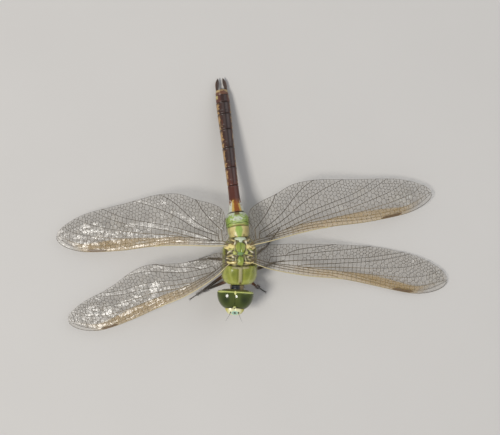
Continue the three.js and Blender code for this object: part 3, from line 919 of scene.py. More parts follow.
def front_tone(tone, x, y, colours):
    """The markings of the two lobes and the keel between them, and a painted dark reflection in the middle of
    each lobe.
    """
    light = ease(-8.4, -9.8, y) + 0.7 * hump(abs(x), 4.5, 0.75) + 0.55 * hump(abs(x) - 0.25 * y, 4.6, 0.3)
    tone = blended(tone, colours.thorax_light, min(light, 1) * ease(-4.6, -5.2, y))
    # Painted reflection: the middle of each glossy lobe is painted a darker green.
    deep = hump(abs(x), 1.9, 0.8) * hump(y, -6.9, 1.1) + 0.7 * hump(abs(x), 3.7, 0.5) * hump(y, -6.4, 1.3)
    tone = blended(tone, LOBE_REFLECTION_GREEN, 0.6 * min(deep, 1))
    keel = ease(0.6, 0.42, abs(x)) * ease(-10.2, -9.4, y)
    bar = ease(-5.95, -5.6, y - 0.2 * abs(x)) * ease(2.7, 2.2, abs(x))
    tone = blended(tone, colours.carina, max(keel, bar) * ease(-4.7, -5.0, y))
    line = hump(abs(x), 0.72, 0.1) * ease(-10, -9.6, y) * ease(-5.4, -5.8, y)
    tone = blended(tone, colours.gap, 0.6 * line)
    return blended(tone, RUST, 0.85 * hump(x, 0.1, 0.3) * hump(y, -9.95, 0.4))


def plate_tone(kind, x, y, inside, colours):
    """The colour of one plate of the back."""
    tone = getattr(colours, kind)
    if kind == "back":
        streak = hump(x, 0.0, 0.2) + 0.6 * hump(abs(x), 0.95, 0.16)
        tone = blended(tone, STREAK_GREEN, 0.65 * min(streak, 1) * ease(-3.6, -2.9, y))
        light = 0.5 * ease(0.75, 1.3, abs(x)) + 0.4 * ease(-3.6, -4.2, y)
        tone = blended(tone, colours.thorax_light, light)
    if kind.startswith("plate"):
        freckle = noise.noise(Vector((x * 2.2, y * 2.2, 9)))
        tone = blended(tone, FRECKLE, 0.75 * ease(0.15, 0.45, freckle))
        tone = blended(PLATE_EDGE, tone, ease(0.0, 0.2, inside))
    return tone


def thorax_tint(colours):
    def tint(u, v, _):
        point, _, up = thorax_base(u, v)
        x, y, z = point
        tone = blended(colours.thorax, colours.thorax_light, 0.35 * hump(z, 6.5, 2.5))
        if up > 0.3:
            tone = front_tone(tone, x, y, colours)
        if up > 0.3 and y > -5.1 and abs(x) < 4.9:
            kind, inside, _ = plate_hit(x, y)
            # Partly painted shade: the skin round the plates is painted near black, its own dark colour
            # deepened for the shade between the raised plates.
            dark = ease(-5.15, -4.9, y - 0.1 * abs(x)) * ease(0.32, 0.5, up) * ease(4.9, 4.5, abs(x))
            blotch = ease(-0.1, 0.35, noise.noise(Vector((x * 1.3, y * 1.3, 1))))
            tone = blended(tone, blended(colours.gap, OLIVE_SKIN, blotch), dark * 0.95)
            if inside > -0.05:
                tone = blended(tone, plate_tone(kind, x, y, inside, colours), ease(-0.03, 0.07, inside))
        seam = side_seams(y, z) * ease(0.9, 0.6, up) * (abs(x) > 2.5)
        tone = blended(tone, colours.gap, 0.6 * seam)
        hole = hump(y, -4.6, 0.35) * hump(z, 7.2, 0.22) * (abs(x) > 2.5)
        tone = blended(tone, colours.black, 0.8 * hole)
        return blended(tone, UNDERSIDE, ease(-0.3, -0.75, up) * 0.7)

    return tint


def shell_finish(name, roughness, speckle=0.25, coat=0.15):
    """The body's satin shell, in the colours that its piece was given, with fine pits and darker specks."""
    made = Finish(name, Roughness=roughness, Coat_Weight=coat, Coat_Roughness=0.18, IOR=1.42)
    tone = made.tint()
    deep = made.mix(1.0, tone, (0.62, 0.6, 0.5), "MULTIPLY")
    mottled = made.mix(made.spread(made.grain(0.8, 5), 0.0, speckle * 2), tone, deep)
    dots = made.ramp(made.cells(0.22), (0.08, 1.0), (0.2, 0.0))
    mottled = made.mix(made.times(dots, speckle), mottled, deep)
    pits = made.relief(made.cells(0.18), 0.012)
    return made.done(Base_Color=mottled, Normal=made.relief(made.grain(0.5, 4), 0.04, under=pits))


# ---------- head ----------
FACE = {  # half sizes and middle of each plate
    "frons": ((2.9, 2.2, 1.75), (0, -4.3, 0.55)),
    "clypeus": ((2.6, 1.9, 1.5), (0, -4.25, -1.35)),
    "labrum": ((2.2, 1.5, 1.2), (0, -3.95, -2.85)),
    "labium": ((2.5, 2.3, 1.0), (0, -1.7, -3.75)),
    "occiput": ((4.3, 0.7, 3.25), (0, 0.75, -0.1)),
}
KNOBS = {  # the vertex in front of the eyes, the jaws beside the lip and the triangle behind the eyes
    "frons": [((0.62, 0.42, 0.5), (-0.05, -3.95, 2.2))],
    "labrum": [((0.75, 1.2, 0.95), (2.25, -2.6, -2.5)), ((0.75, 1.2, 0.95), (-2.25, -2.6, -2.5))],
    "occiput": [((0.46, 0.85, 0.3), (0, 0.15, 3.5))],
}
OCELLI = [(0.17, (-0.05, -4.28, 2.5)), (0.15, (0.4, -3.9, 2.55)), (0.15, (-0.5, -3.9, 2.55))]
FEELER = [  # x, y, z and thickness
    (1.1, -5.3, 1.85, 0.3), (1.22, -5.65, 2.15, 0.28), (1.3, -5.85, 2.3, 0.2), (1.45, -6.25, 2.55, 0.1),
    (1.75, -6.9, 2.85, 0.08), (2.15, -7.6, 3.0, 0.06), (2.6, -8.3, 3.1, 0.035),
]
EYE_SEAM = 1.4  # how far the middle of each eye lies from the head's
EYE_WIDTH, EYE_DEPTH, EYE_HEIGHT = 4.1, 4.9, 3.9
EYE_REAR = 0.85  # how far the eyes reach behind the head's middle


def face_relief(part):
    """How far each place of a face plate stands out from its ellipsoid, by the direction from its middle."""

    def shape(way):
        x, y, z = way
        around = math.hypot(x, z)
        square = (abs(x) ** 2.8 + abs(z) ** 2.8) ** (-1 / 2.8) * around if around > 1e-6 else 1
        lift = 0.9 * min(square - 1, 0.18) * ease(0.1, 0.7, around)
        if part == "frons":
            lift += 0.16 * hump(z, 0.5, 0.2) * ease(-0.3, -0.7, y)
            lift += 0.03 * noise.noise(way * 3) - 0.1 * hump(x, 0, 0.12) * ease(0.5, 0.8, z)
        if part == "clypeus":
            lift += 0.12 * hump(abs(x), 0.66, 0.16) * hump(z, 0.1, 0.3) - 0.13 * hump(z, -0.3, 0.06)
            lift -= 0.12 * hump(abs(x), 0.34, 0.05) * hump(z, -0.02, 0.09)
        if part == "labrum":
            lift += 0.08 * hump(z, -0.45, 0.16) - 0.14 * hump(x, 0, 0.12) * ease(-0.2, -0.6, z)
            lift -= 0.06 * hump(abs(x), 0.35, 0.12) * hump(z, 0.1, 0.2)
        if part == "labium":
            lift -= 0.2 * hump(x, 0, 0.035) * ease(0, -0.4, z)
            lift -= 0.14 * hump(abs(x), 0.52, 0.035) * ease(0, -0.3, z)
            lift -= 0.14 * hump(y, 0.35, 0.05) * ease(0, -0.4, z)
        if part == "occiput":
            lift = -0.2 * hump(z, 0, 0.3) * hump(x, 0, 0.4) * ease(0, 0.5, y) - 0.1 * hump(x, 0, 0.04)
        return lift

    return shape


def ball(name, radii, centre, tint, space=HEAD_SPACE, across=64, along=40, shape=None):
    """An ellipsoid with its poles on the Y axis; shape(direction) moves each point out by millimetres."""

    def place(u, v):
        angle, tilt = 2 * math.pi * u, math.pi * (v - 0.5)
        way = Vector((math.cos(angle) * math.cos(tilt), math.sin(tilt), math.sin(angle) * math.cos(tilt)))
        extra = shape(way) if shape else 0
        return Vector(c + w * (r + extra) for c, w, r in zip(centre, way, radii))

    return close_up(sheet(name, across, along, place, space, tint))


def cut(piece, point, outward):
    """Cuts away what lies beyond a plane through the head and closes the piece there."""
    pick(piece)
    bpy.ops.object.mode_set(mode="EDIT")
    bpy.ops.mesh.select_all(action="SELECT")
    way = (HEAD_SPACE.to_3x3() @ Vector(outward)).normalized()
    at = HEAD_SPACE @ Vector(point)
    bpy.ops.mesh.bisect(plane_co=at, plane_no=way, clear_outer=True, threshold=SHEET_GAP)
    bpy.ops.mesh.select_all(action="DESELECT")
    bpy.ops.mesh.select_mode(type="EDGE")
    bpy.ops.mesh.select_non_manifold(
        use_wire=False, use_multi_face=False, use_non_contiguous=False, use_verts=False
    )
    bpy.ops.mesh.edge_face_add()
    bpy.ops.mesh.select_mode(type="VERT")
    bpy.ops.object.mode_set(mode="OBJECT")


def eye_lens(sign):
    """The skin of one eye: an ellipsoid in front, a rounded edge and a flat back."""
    flat = 0.8  # share of the width where the rounded edge ends

    def place(u, v):
        angle, tilt = 2 * math.pi * u, math.pi * (v - 0.5)
        wide, y = math.cos(tilt), EYE_DEPTH * math.sin(tilt)
        if tilt > 0:
            behind = tilt * 4 / math.pi
            turn = min(behind, 1) * math.pi / 2
            wide = flat + (1 - flat) * math.cos(turn) if behind < 1 else flat * (2 - behind)
            y = EYE_REAR * math.sin(turn)
        x, z = EYE_WIDTH * wide * math.cos(angle), EYE_HEIGHT * wide * math.sin(angle)
        return (sign * EYE_SEAM + x, y, z)

    return place


EYE_SEAM_TONE = (0.12, 0.14, 0.03)
EYE_STREAK = (0.1, 0.13, 0.03)
EYE_LOW = (0.16, 0.17, 0.045)
EYE_CORNER = (0.3, 0.34, 0.1)
EYE_SPOTS = [((4.6, -2.4, 0.6), 0.55), ((5.2, -0.9, -0.4), 0.5), ((3.6, -3.6, -0.3), 0.5)]  # middle, radius


def eye_tint(colours):
    def tint(u, v, point):
        x, y, z = abs(point.x), point.y, point.z
        dark = hump(x, 2.7, 1.3) * hump(y, -1.6, 1.4) * ease(0, 2.5, z)
        tone = blended(colours.eye, colours.eye_dark, dark)
        tone = blended(tone, EYE_SEAM_TONE, 0.6 * hump(x, 0.0, 0.8) * ease(-3.5, -1, y))
        tone = blended(tone, EYE_STREAK, 0.5 * hump(x, 1.3, 0.35) * hump(y, -1.2, 1.6))
        tone = blended(tone, EYE_LOW, ease(1.6, -2.2, z))
        for middle, radius in EYE_SPOTS:
            share = ease(radius, radius * 0.4, math.dist((x, y, z), middle))
            tone = blended(tone, colours.black, 0.55 * share)
        tone = blended(tone, colours.eye_rim, 0.9 * ease(0.34, 0.52, y + 0.16 * ease(2.6, 4.6, x) * (z > 0)))
        return blended(tone, EYE_CORNER, 0.45 * ease(0.9, 0.3, abs(z)) * ease(5.1, 5.45, x))

    return tint


def eye_finish():
    made = Finish("eye", Roughness=0.13, Coat_Weight=0.3, Coat_Roughness=0.05, IOR=1.36)
    tone = made.tint()
    lattice = made.cells(0.07)
    deep = made.mix(1.0, tone, (0.55, 0.6, 0.5), "MULTIPLY")
    shade = made.mix(made.spread(made.grain(2.2), 0.1, 0.6), tone, deep)
    shade = made.mix(made.ramp(lattice, (0.3, 0.0), (0.75, 0.3)), shade, deep)
    return made.done(Base_Color=shade, Normal=made.relief(lattice, 0.004))


FACE_OCHRE = (0.55, 0.5, 0.14)
FACE_GREEN = (0.52, 0.52, 0.19)
# Painted shade along the front edge of the frons, where its underside turns away.
FRONS_EDGE_SHADE = (0.05, 0.045, 0.015)
CLYPEUS, CLYPEUS_LOW = (0.5, 0.52, 0.2), (0.38, 0.42, 0.14)
PIT = (0.1, 0.08, 0.03)
LIP = (0.5, 0.44, 0.17)
CHIN, CHIN_SEAM = (0.46, 0.38, 0.17), (0.12, 0.08, 0.04)
NAPE, NAPE_EDGE = (0.05, 0.045, 0.025), (0.42, 0.4, 0.12)
JAW, JAW_TIP = (0.4, 0.34, 0.12), (0.06, 0.035, 0.02)
TRIANGLE = (0.6, 0.58, 0.2)
OCELLUS = (0.03, 0.02, 0.01)


def face_tint(colours, part):
    def tint(u, v, point):
        x, y, z = point
        if part == "frons":
            side = ease(1.4, 2.5, abs(x)) + 0.4 * ease(-4.9, -4.2, y)
            tone = blended(colours.face, FACE_OCHRE, side)
            ring = math.hypot(x - 0.1, (y + 5.7) / 0.62)
            tone = blended(tone, colours.face_blue, 0.85 * hump(ring, 0.72, 0.3) * ease(0.9, 1.4, z))
            tone = blended(tone, colours.black, ease(0.48, 0.34, ring) * ease(0.9, 1.4, z))
            tone = blended(tone, colours.black, ease(-4.35, -4.12, y + 0.08 * abs(x)) * ease(0.4, 1.0, z))
            # Painted shade: a dark band along the front edge of the frons, where its surface turns down into
            # shade.
            edge_shade = hump(z, 1.12, 0.13) * ease(-5.3, -5.9, y) * ease(2.1, 1.5, abs(x))
            tone = blended(tone, FRONS_EDGE_SHADE, 0.85 * edge_shade)
            return blended(tone, FACE_GREEN, ease(1.0, 0.2, z))
        if part == "clypeus":
            tone = blended(CLYPEUS, CLYPEUS_LOW, ease(-1.3, -2.1, z))
            pits = hump(abs(x), 0.95, 0.14) * hump(z, -1.4, 0.13)
            line = hump(z, -1.82, 0.06) * ease(2.2, 1.6, abs(x))
            return blended(tone, PIT, 0.8 * pits + 0.5 * line)
        if part == "labrum":
            return blended(LIP, colours.black, ease(-3.35, -3.65, z) + 0.5 * ease(1.5, 1.9, abs(x)))
        if part == "labium":
            seam = hump(x, 0, 0.08) + hump(abs(x), 1.3, 0.08) * ease(-3.9, -4.2, z)
            return blended(CHIN, CHIN_SEAM, min(seam, 1) * 0.8)
        tone = blended(NAPE, NAPE_EDGE, ease(1.1, 2.6, math.hypot(x * 0.62, z)))
        return blended(tone, colours.black, 0.85 * ease(1.3, 1.05, y) * ease(0.5, 0.9, y) * ease(0, 1, z))

    return tint


def knob_tint(colours, part):
    def tint(u, v, point):
        if part == "frons":
            return blended(CLYPEUS, colours.black, ease(2.35, 2.15, point.z))
        if part == "labrum":
            return blended(JAW, JAW_TIP, ease(-2.6, -3.2, point.z))
        return blended(colours.eye_rim, TRIANGLE, 0.6)

    return tint


def bead_tint(u, v, point):
    return OCELLUS


def pinched(way):
    """Narrows the front of the triangle behind the eyes."""
    return -0.1 * ease(0.3, -0.8, way.y)


# ---------- legs ----------
LEGS = {  # hip, bend under the hip, knee, and the heel and toe seen from above
    "front_left": [(1.5, -8.4, 5.2), (2.5, -9.1, 3.6), (5.0, -11.0, 6.0), (6.2, -12.0), (7.9, -13.1)],
    "front_right": [(-1.5, -8.4, 5.2), (-2.6, -9.1, 3.6), (-9.2, -11.8, 4.6), (-11.1, -12.9), (-12.5, -13.7)],
    "middle_left": [(1.8, -6.0, 4.8), (3.2, -6.3, 3.3), (8.2, -5.0, 6.6), (11.0, -4.0), (13.4, -3.6)],
    "middle_right": [
        (-1.8, -6.0, 4.8), (-3.2, -6.7, 3.3), (-10.7, -12.1, 6.6), (-13.3, -14.1), (-15.1, -15.3),
    ],
    "hind_left": [(1.8, -3.2, 5.0), (3.2, -2.6, 3.4), (8.0, 0.8, 7.0), (10.7, 4.2), (12.2, 6.2)],
    "hind_right": [(-1.8, -3.2, 5.0), (-3.2, -3.2, 3.4), (-9.3, -2.6, 7.2), (-12.6, -3.4), (-15.2, -3.9)],
}


def leg_strands(hip, trochanter, knee, ankle, toe):
    """The tapering lengths of one leg, its spines and its claws, as strands for threads of 1 mm."""
    hip, trochanter, knee = Vector(hip), Vector(trochanter), Vector(knee)
    heel, toe = Vector((*ankle, 0.22)), Vector((*toe, 0.18))
    root = [(0, 1.5), (0.35, 1.6), (0.75, 1.2), (1, 0.85)]
    strands = [[(hip.lerp(trochanter, s), r) for s, r in root]]
    thigh = [(0, 0.75), (0.06, 1.0), (0.25, 1.12), (0.6, 0.95), (0.88, 0.72), (0.96, 0.8), (1, 0.55)]
    strands.append([(trochanter.lerp(knee, s), r) for s, r in thigh])
    shin = [(0, 0.5), (0.04, 0.62), (0.12, 0.52), (0.5, 0.46), (0.92, 0.36), (0.97, 0.42), (1, 0.3)]
    strands.append([(knee.lerp(heel, s), r) for s, r in shin])
    for low, high in ((0, 0.26), (0.27, 0.6), (0.61, 1)):
        rows = [(low, 0.2), (lerp(low, high, 0.3), 0.27), (lerp(low, high, 0.8), 0.32), (high, 0.2)]
        strands.append([(heel.lerp(toe, s), r) for s, r in rows])
    along = (toe - heel).normalized()
    beside = along.cross(Vector((0, 0, 1))).normalized()
    for sign in (1, -1):
        tip = toe + along * 0.5 + beside * 0.28 * sign - Vector((0, 0, 0.1))
        strands.append([(toe, 0.14), (toe + along * 0.25 + beside * 0.22 * sign, 0.12), (tip, 0.03)])
    for start, end, count, size in ((trochanter, knee, 14, 0.5), (knee, heel, 13, 0.95)):
        way = (end - start).normalized()
        down = (Vector((0, 0, -1)) + way * way.z).normalized()
        across = way.cross(down)
        for i in range(count):
            place = start.lerp(end, lerp(0.15, 0.93, i / (count - 1)))
            for sign in (1, -1):
                aim = (down * 0.5 + across * sign * 0.9 + way * 0.75).normalized()
                tip = place + aim * (0.25 + size * (1 - 0.35 * i / count))
                tip.z = max(tip.z, 0.06)
                strands.append([(place + aim * 0.12, 0.13), (tip, 0.02)])
    return strands


def leg_finish(colours):
    made = Finish("leg", Roughness=0.32, Coat_Weight=0.2, Coat_Roughness=0.25)
    tone = made.mix(made.mask("root"), colours.leg, colours.thigh)
    worn = made.mix(made.spread(made.grain(0.4, 4), 0.0, 0.35), tone, (0.09, 0.06, 0.04))
    return made.done(Base_Color=worn, Normal=made.relief(made.grain(0.25, 4), 0.03))


# ---------- abdomen ----------
RINGS = [  # length, half widths at the front, middle and back, and height over width
    (3.3, (2.75, 3.15, 3.3), 0.92), (4.3, (3.4, 3.6, 2.7), 0.92), (8.4, (2.6, 1.72, 1.62), 0.96),
    (5.6, (1.66, 1.66, 1.72), 0.95), (6.1, (1.74, 1.76, 1.82), 0.94), (5.7, (1.84, 1.86, 1.94), 0.94),
    (4.9, (1.96, 2.0, 2.06), 0.92), (3.65, (2.06, 2.08, 2.08), 0.9), (2.4, (2.06, 2.06, 2.0), 0.88),
    (1.65, (1.96, 1.9, 1.7), 0.8),
]
RING_CAP = 0.06  # the share of v that each closed end of a ring takes
RING_GAP = 0.04
GREEN_RINGS = 2  # the rest are brown
CERCUS_LENGTH = 4.3
CERCUS_WIDTH = profile(
    [(0, 0.3), (0.14, 0.4), (0.45, 0.55), (0.66, 0.52), (0.84, 0.34), (0.95, 0.14), (1, 0.015)]
)
CERCUS_ROOT = (1.4, 45.5, 0.3)
CERCUS_SPREAD, CERCUS_RISE = 8.5, 3  # degrees


def ring_share(v):
    """How far along a ring v lies: below 0 and over 1 it's on the closed ends."""
    return (v - RING_CAP) / (1 - 2 * RING_CAP)


def ring_side(index, u):
    """How far round a ring a place lies, from its back, 0, to its belly, 1. The rear rings are twisted."""
    twist = 0.025 * ease(1, 4, index)
    return abs((2 * (u - twist)) % 2 - 1)


def ring_skin(index):
    """One ring: its front end is narrower and slips into the ring before it."""
    long, widths, tall = RINGS[index]
    width = profile([(0, widths[0]), (0.5, widths[1]), (1, widths[2])])
    start = sum(row[0] for row in RINGS[:index])
    from_frame = ABDOMEN_SPACE.inverted()
    neck = 0.86  # the front end's share of the width
    lip_length = 0.35

    def place(u, v):
        share = ring_share(v)
        y = lerp(0.0, long - RING_GAP, min(max(share, 0), 1))
        radius = float(width(min(max(share, 0), 1)))
        lip = min(max(share, 0) * long / lip_length, 1) ** 0.5
        radius *= lerp(neck, 1, lip) if share > 0 else neck * max(v / RING_CAP, 0)
        if share > 1:
            radius *= max((1 - v) / RING_CAP, 0)
        radius += 0.045 * hump(share, 0.97, 0.02) if share < 1 else 0
        angle = 2 * math.pi * u
        x, z = -math.sin(angle), -math.cos(angle)
        side = ring_side(index, u)
        groove = 0.08 * hump(side, 0.78, 0.025) - 0.05 * hump(side, 0.0, 0.02)
        if 2 <= index <= 7:
            groove -= 0.07 * hump(side, 0.6, 0.02) * ease(0, 0.2, share)
            groove += 0.04 * hump(share, 0.3, 0.02)
        if index == 1:
            groove += 0.09 * hump(share, 0.38, 0.035) * ease(0.85, 0.6, side)
        radius -= groove * ease(-0.02, 0.03, share) * ease(1.02, 0.97, share)
        point = Vector((x * radius, start + y, z * radius * tall))
        if index > 7:
            placed = ABDOMEN_SPACE @ point
            placed.z = max(placed.z, 0.0)
            point = from_frame @ placed
        return point

    return place


STRAW = (0.5, 0.36, 0.16)
LIME = (0.5, 0.52, 0.16)
AMBER_BROWN = (0.34, 0.12, 0.02)
FRINGE = (0.62, 0.42, 0.1)
HAZEL = (0.34, 0.22, 0.1)
UMBER = (0.1, 0.07, 0.03)
UMBER_DOTS = (0.1, 0.09, 0.04)
WEDGE = (0.16, 0.08, 0.04)
# A painted sheen for the backs of the slender rings.
GREY_SHEEN = (0.1, 0.075, 0.072)
CHESTNUT = (0.17, 0.05, 0.02)
REAR_BROWN, TAIL_BROWN = (0.13, 0.05, 0.035), (0.17, 0.075, 0.045)
TAIL_PALE = (0.55, 0.4, 0.2)
BELLY = (0.1, 0.07, 0.05)
JOINT = (0.025, 0.015, 0.01)


def ring_tint(index, colours):
    """The markings of one ring, with a painted grey sheen along the back of the slender ones.

    In each of them share runs from the ring's front to its rear, and side from its back, 0, to its belly, 1.
    """
    brown, tan, red, white = colours.belly_brown, colours.belly_tan, colours.belly_red, colours.belly_white
    cream, green, black = colours.belly_cream, colours.belly_green, colours.black

    def first(share, side, spot):
        tone = blended(cream, STRAW, 0.5 * hump(share, 0.45, 0.2) * hump(side, 0.24, 0.08))
        tone = blended(tone, green, ease(0.135, 0.1, side + 0.1 * abs(share - 0.6)))
        tone = blended(tone, UMBER, 0.8 * hump(share, 0.12, 0.1) * hump(side, 0.15, 0.045))
        return blended(tone, green, ease(0.36, 0.5, side))

    def second(share, side, spot):
        wave = share + 0.03 * math.sin(side * 22)
        tone = blended(green, LIME, 0.6 * hump(side, 0.12, 0.1) * ease(0.3, 0.1, share))
        tone = blended(tone, HAZEL, 0.7 * hump(share, 0.05, 0.06) * ease(0.3, 0.1, side))
        middle = ease(0.22, 0.06, side + 0.5 * spot) * hump(share + spot * 0.3, 0.5, 0.17)
        tone = blended(tone, white, 0.85 * min(middle * 1.3, 1))
        rear = ease(0.72, 0.84, share + 0.5 * spot) * ease(0.06, 0.12, side) * ease(0.6, 0.45, side)
        tone = blended(tone, white, 0.8 * rear)
        tone = blended(tone, WEDGE, 0.85 * ease(0.74, 0.82, share) * ease(0.09, 0.06, side))
        dots = hump(share, 0.45, 0.03) * hump(side, 0.07, 0.025)
        dots += hump(share, 0.36, 0.03) * hump(side, 0.16, 0.03)
        tone = blended(tone, UMBER_DOTS, 0.8 * min(dots, 1))
        return blended(tone, black, 0.92 * hump(wave, 0.22, 0.022) * ease(0.5, 0.42, side))

    def third(share, side, spot):
        stripe = blended(colours.belly_orange, red, ease(0.28, 0.55, share))
        stripe = blended(stripe, AMBER_BROWN, 0.5 * hump(side, 0.05, 0.04) * hump(share, 0.3, 0.16))
        fringe = blended(FRINGE, white, ease(0.17, 0.24, side))
        edge = 0.085 + 0.05 * spot
        fade = ease(0.44, 0.3, share + 0.35 * spot)
        tone = blended(stripe, fringe, ease(edge, edge + 0.035, side) * fade)
        low = blended(tan, red, 0.35)
        tone = blended(tone, low, ease(0.4, 0.55, share) * ease(0.42, 0.55, side + 0.4 * spot))
        return blended(tone, black, 0.85 * ease(0.07, 0.0, share) * ease(0.45, 0.25, side))

    def slender(share, side, spot):
        tone = blended(red, brown, ease(3, 4.6, index + share))
        pale = max(hump(share, 0.14, 0.1), hump(share, 0.62, 0.24)) * ease(0.3, 0.335, side + 0.25 * spot)
        tone = blended(tone, tan, 0.95 * min(pale * 1.4, 1) * ease(0.68, 0.6, side))
        # Painted sheen: a grey sheen along the back of each slender ring.
        tone = blended(tone, GREY_SHEEN, 0.5 * hump(side, 0.1, 0.06) * ease(0.05, 0.3, share))
        tone = blended(tone, CHESTNUT, 0.6 * hump(side, 0.24, 0.05) * ease(0.05, -0.25, spot))
        tone = blended(tone, black, 0.75 * hump(side, 0, 0.025))
        return blended(tone, black, 0.6 * hump(side, 0.6, 0.025))

    def ninth(share, side, spot):
        tone = blended(REAR_BROWN, brown, ease(0.25, 0.1, side))
        pale = ease(0.45, 0.7, share + spot) * ease(0.27, 0.36, side) * ease(0.6, 0.5, side)
        return blended(tone, cream, 0.8 * pale)

    def last(share, side, spot):
        pale = ease(0.35, 0.7, share + 0.4 * spot) * ease(0.1, 0.25, side)
        tone = blended(TAIL_BROWN, TAIL_PALE, pale)
        return blended(tone, TAIL_PALE, 0.9 * ease(0.72, 0.9, share + 0.3 * spot))

    pattern = {0: first, 1: second, 2: third, 8: ninth, 9: last}.get(index, slender)
    joint_share = {0: 0.5, 9: 0.25}.get(index, 0.85)
    long = RINGS[index][0]

    def tint(u, v, point):
        share, side = min(max(ring_share(v), 0), 1), ring_side(index, u)
        spot = 0.5 * noise.noise(point * 1.6) + 0.2 * noise.noise(point * 4)
        tone = pattern(share, side, spot)
        if index >= 2:
            tone = blended(tone, BELLY, ease(0.72, 0.8, side))
        joint = ease(1 - 0.26 / long, 1 - 0.1 / long, share) + ease(0.02, 0.0, share)
        return blended(tone, JOINT, min(joint, 1) * joint_share)

    return tint


FLAPS = [  # half sizes and middle of the small plates that close the last ring: one above and two below
    ((0.62, 0.75, 0.34), (0, 45.75, 0.35)),
    ((0.68, 0.85, 0.62), (0.62, 45.55, -0.55)),
    ((0.68, 0.85, 0.62), (-0.62, 45.55, -0.55)),
]
FLAP, FLAP_TIP = (0.4, 0.29, 0.14), (0.12, 0.055, 0.03)
CERCUS, CERCUS_PALE = (0.06, 0.036, 0.026), (0.16, 0.08, 0.045)


def flap_tint(u, v, point):
    return blended(FLAP, FLAP_TIP, ease(45.6, 46.3, point.y))


def cercus_skin(sign):
    """A leaf with a rib along its top, bowed outwards a little."""

    def place(u, v):
        half = float(CERCUS_WIDTH(v)) * min(1, v / 0.03, (1 - v) / 0.02) ** 0.5
        x, z = math.sin(2 * math.pi * u), math.cos(2 * math.pi * u)
        thick = 0.2 * (1 - 0.6 * v) + 0.12 * hump(x, 0, 0.25) * (z > 0)
        bow = sign * 0.1 * math.sin(math.pi * v)
        return (x * half + bow, v * CERCUS_LENGTH, z * thick * min(1, half * 4))

    return place


def cercus_tint(u, v, point):
    return blended(CERCUS, CERCUS_PALE, max(ease(0.25, 0.0, v), 0.7 * ease(0.3, 0.55, abs(point.x))))


# ---------- hairs ----------
def hair_strands(count, longest):
    """Fine hairs that lean back from the thorax, in millimetres, and the (u, v) of each one's root."""
    rng = random.Random(11)
    strands, roots = [], []
    while len(strands) < count:
        u, v = rng.random(), rng.uniform(0.03, 0.97)
        _, out, up = thorax_base(u, v)
        root = thorax_skin(u, v)
        if (up > 0.45 and root.y > -5.2) or (up > 0.5 and rng.random() < 0.55):
            continue
        stray = Vector((rng.uniform(-0.4, 0.4), rng.uniform(-0.2, 0.7), rng.uniform(-0.5, 0.3)))
        way = (out + stray).normalized()
        long = longest * rng.uniform(0.45, 1.0) * (0.5 if up > 0.5 else 1.0)
        bend = way.lerp(Vector((0, 0.7, -0.6)), 0.35).normalized()
        middle = root + way * long * 0.5
        strands.append([(root - out * 0.05, 1.0), (middle, 0.8), (middle + bend * long * 0.5, 0.15)])
        roots.append((u, v))
    return strands, roots


def patch_map(piece, strands, roots, space):
    """Lays each hair in a small patch at its root's place on the skin, for the map its colour goes to."""
    patch = 0.003
    joints = [(space @ Vector(point), owner) for owner, strand in enumerate(strands) for point, _ in strand]
    tree = KDTree(len(joints))
    for index, (place, _) in enumerate(joints):
        tree.insert(place, index)
    tree.balance()
    layer = piece.data.uv_layers.new(name="OFBake")
    for face in piece.data.polygons:
        u, v = roots[joints[tree.find(face.center)[1]][1]]
        for corner, (across, along) in zip(face.loop_indices, ((0, 0), (1, 0), (1, 1), (0, 1))):
            layer.data[corner].uv = (lerp(u, across, patch), lerp(v, along, patch))


def hair_finish(colours):
    made = Finish("hair", Roughness=0.5)
    tone = made.mix(made.grain(1.5), colours.hair, tuple(c * 0.6 for c in colours.hair))
    return made.done(Base_Color=tone)


# ---------- stage ----------
FLOOR_SIZE = 4
VIEW_CENTRE = (3.185, 9.675, 0)  # in millimetres from the thorax, under the camera
LIT_POINT = (0, 0, 0.005)


# ---------- operators ----------
def shared(context):
    """The sizes and colours that every piece is made with."""
    return context.scene.dragonfly_sizes, context.scene.dragonfly_colours


class AddWings(bpy.types.Operator):
    """Four pleated clear sheets with their net of veins, leading edges and spots"""

    bl_idname = "dragonfly.wings"
    bl_label = "Wings"

    def execute(self, context):
        sizes, colours = shared(context)
        membranes = [membrane_finish(colours, solid) for solid in (0.12, 0.19, 0.27)]
        vein, stigma = vein_finish(colours), stigma_finish(colours)
        for name in WINGS:
            add_skin(name, sizes, membranes)
            add_net(name, sizes, vein)
            add_ribs(name, sizes, vein)
            add_spot(name, sizes, stigma)
        return {"FINISHED"}


class AddThorax(bpy.types.Operator):
    """The thorax with its lobes, keel, back plates and seams"""

    bl_idname = "dragonfly.thorax"
    bl_label = "Thorax"

    def execute(self, context):
        _, colours = shared(context)
        shell = sheet("thorax_shell", 280, 210, thorax_skin, THORAX_SPACE, thorax_tint(colours))
        close_up(shell)
        finish(shell, shell_finish("thorax_shell", 0.3, 0.3, 0.3), "thorax_shell", "thorax")

        # The collar's near-black colour is painted shade, where the neck sinks between the head and the
        # thorax.
        def collar(u, v, point):
            side = ease(1.0, 1.7, abs(point.x + 1.1)) + 0.5 * ease(-0.2, -0.9, point.z - NECK_CENTRE[2])
            return blended(colours.neck, COLLAR_SIDE, min(side, 1) * 0.85)

        def folds(way):
            return 0.09 * math.sin(9 * way.y) - 0.12 * hump(way.x, 0.1, 0.12) * ease(0, 0.4, way.z)

        neck = ball("neck_collar", (2.1, 1.6, 2.1), NECK_CENTRE, collar, TO_FRAME, shape=folds)
        finish(neck, shell_finish("neck", 0.4), "face", "prothorax")
        return {"FINISHED"}


class AddHairs(bpy.types.Operator):
    """The fine hairs of the thorax"""

    bl_idname = "dragonfly.hairs"
    bl_label = "Hairs"

    def execute(self, context):
        sizes, colours = shared(context)
        strands, roots = hair_strands(sizes.hair_count, sizes.hair_length / MM)
        hairs = threads("thorax_hairs", strands, 0.035, THORAX_SPACE)
        patch_map(hairs, strands, roots, THORAX_SPACE)
        finish(hairs, hair_finish(colours), "thorax_shell")
        return {"FINISHED"}


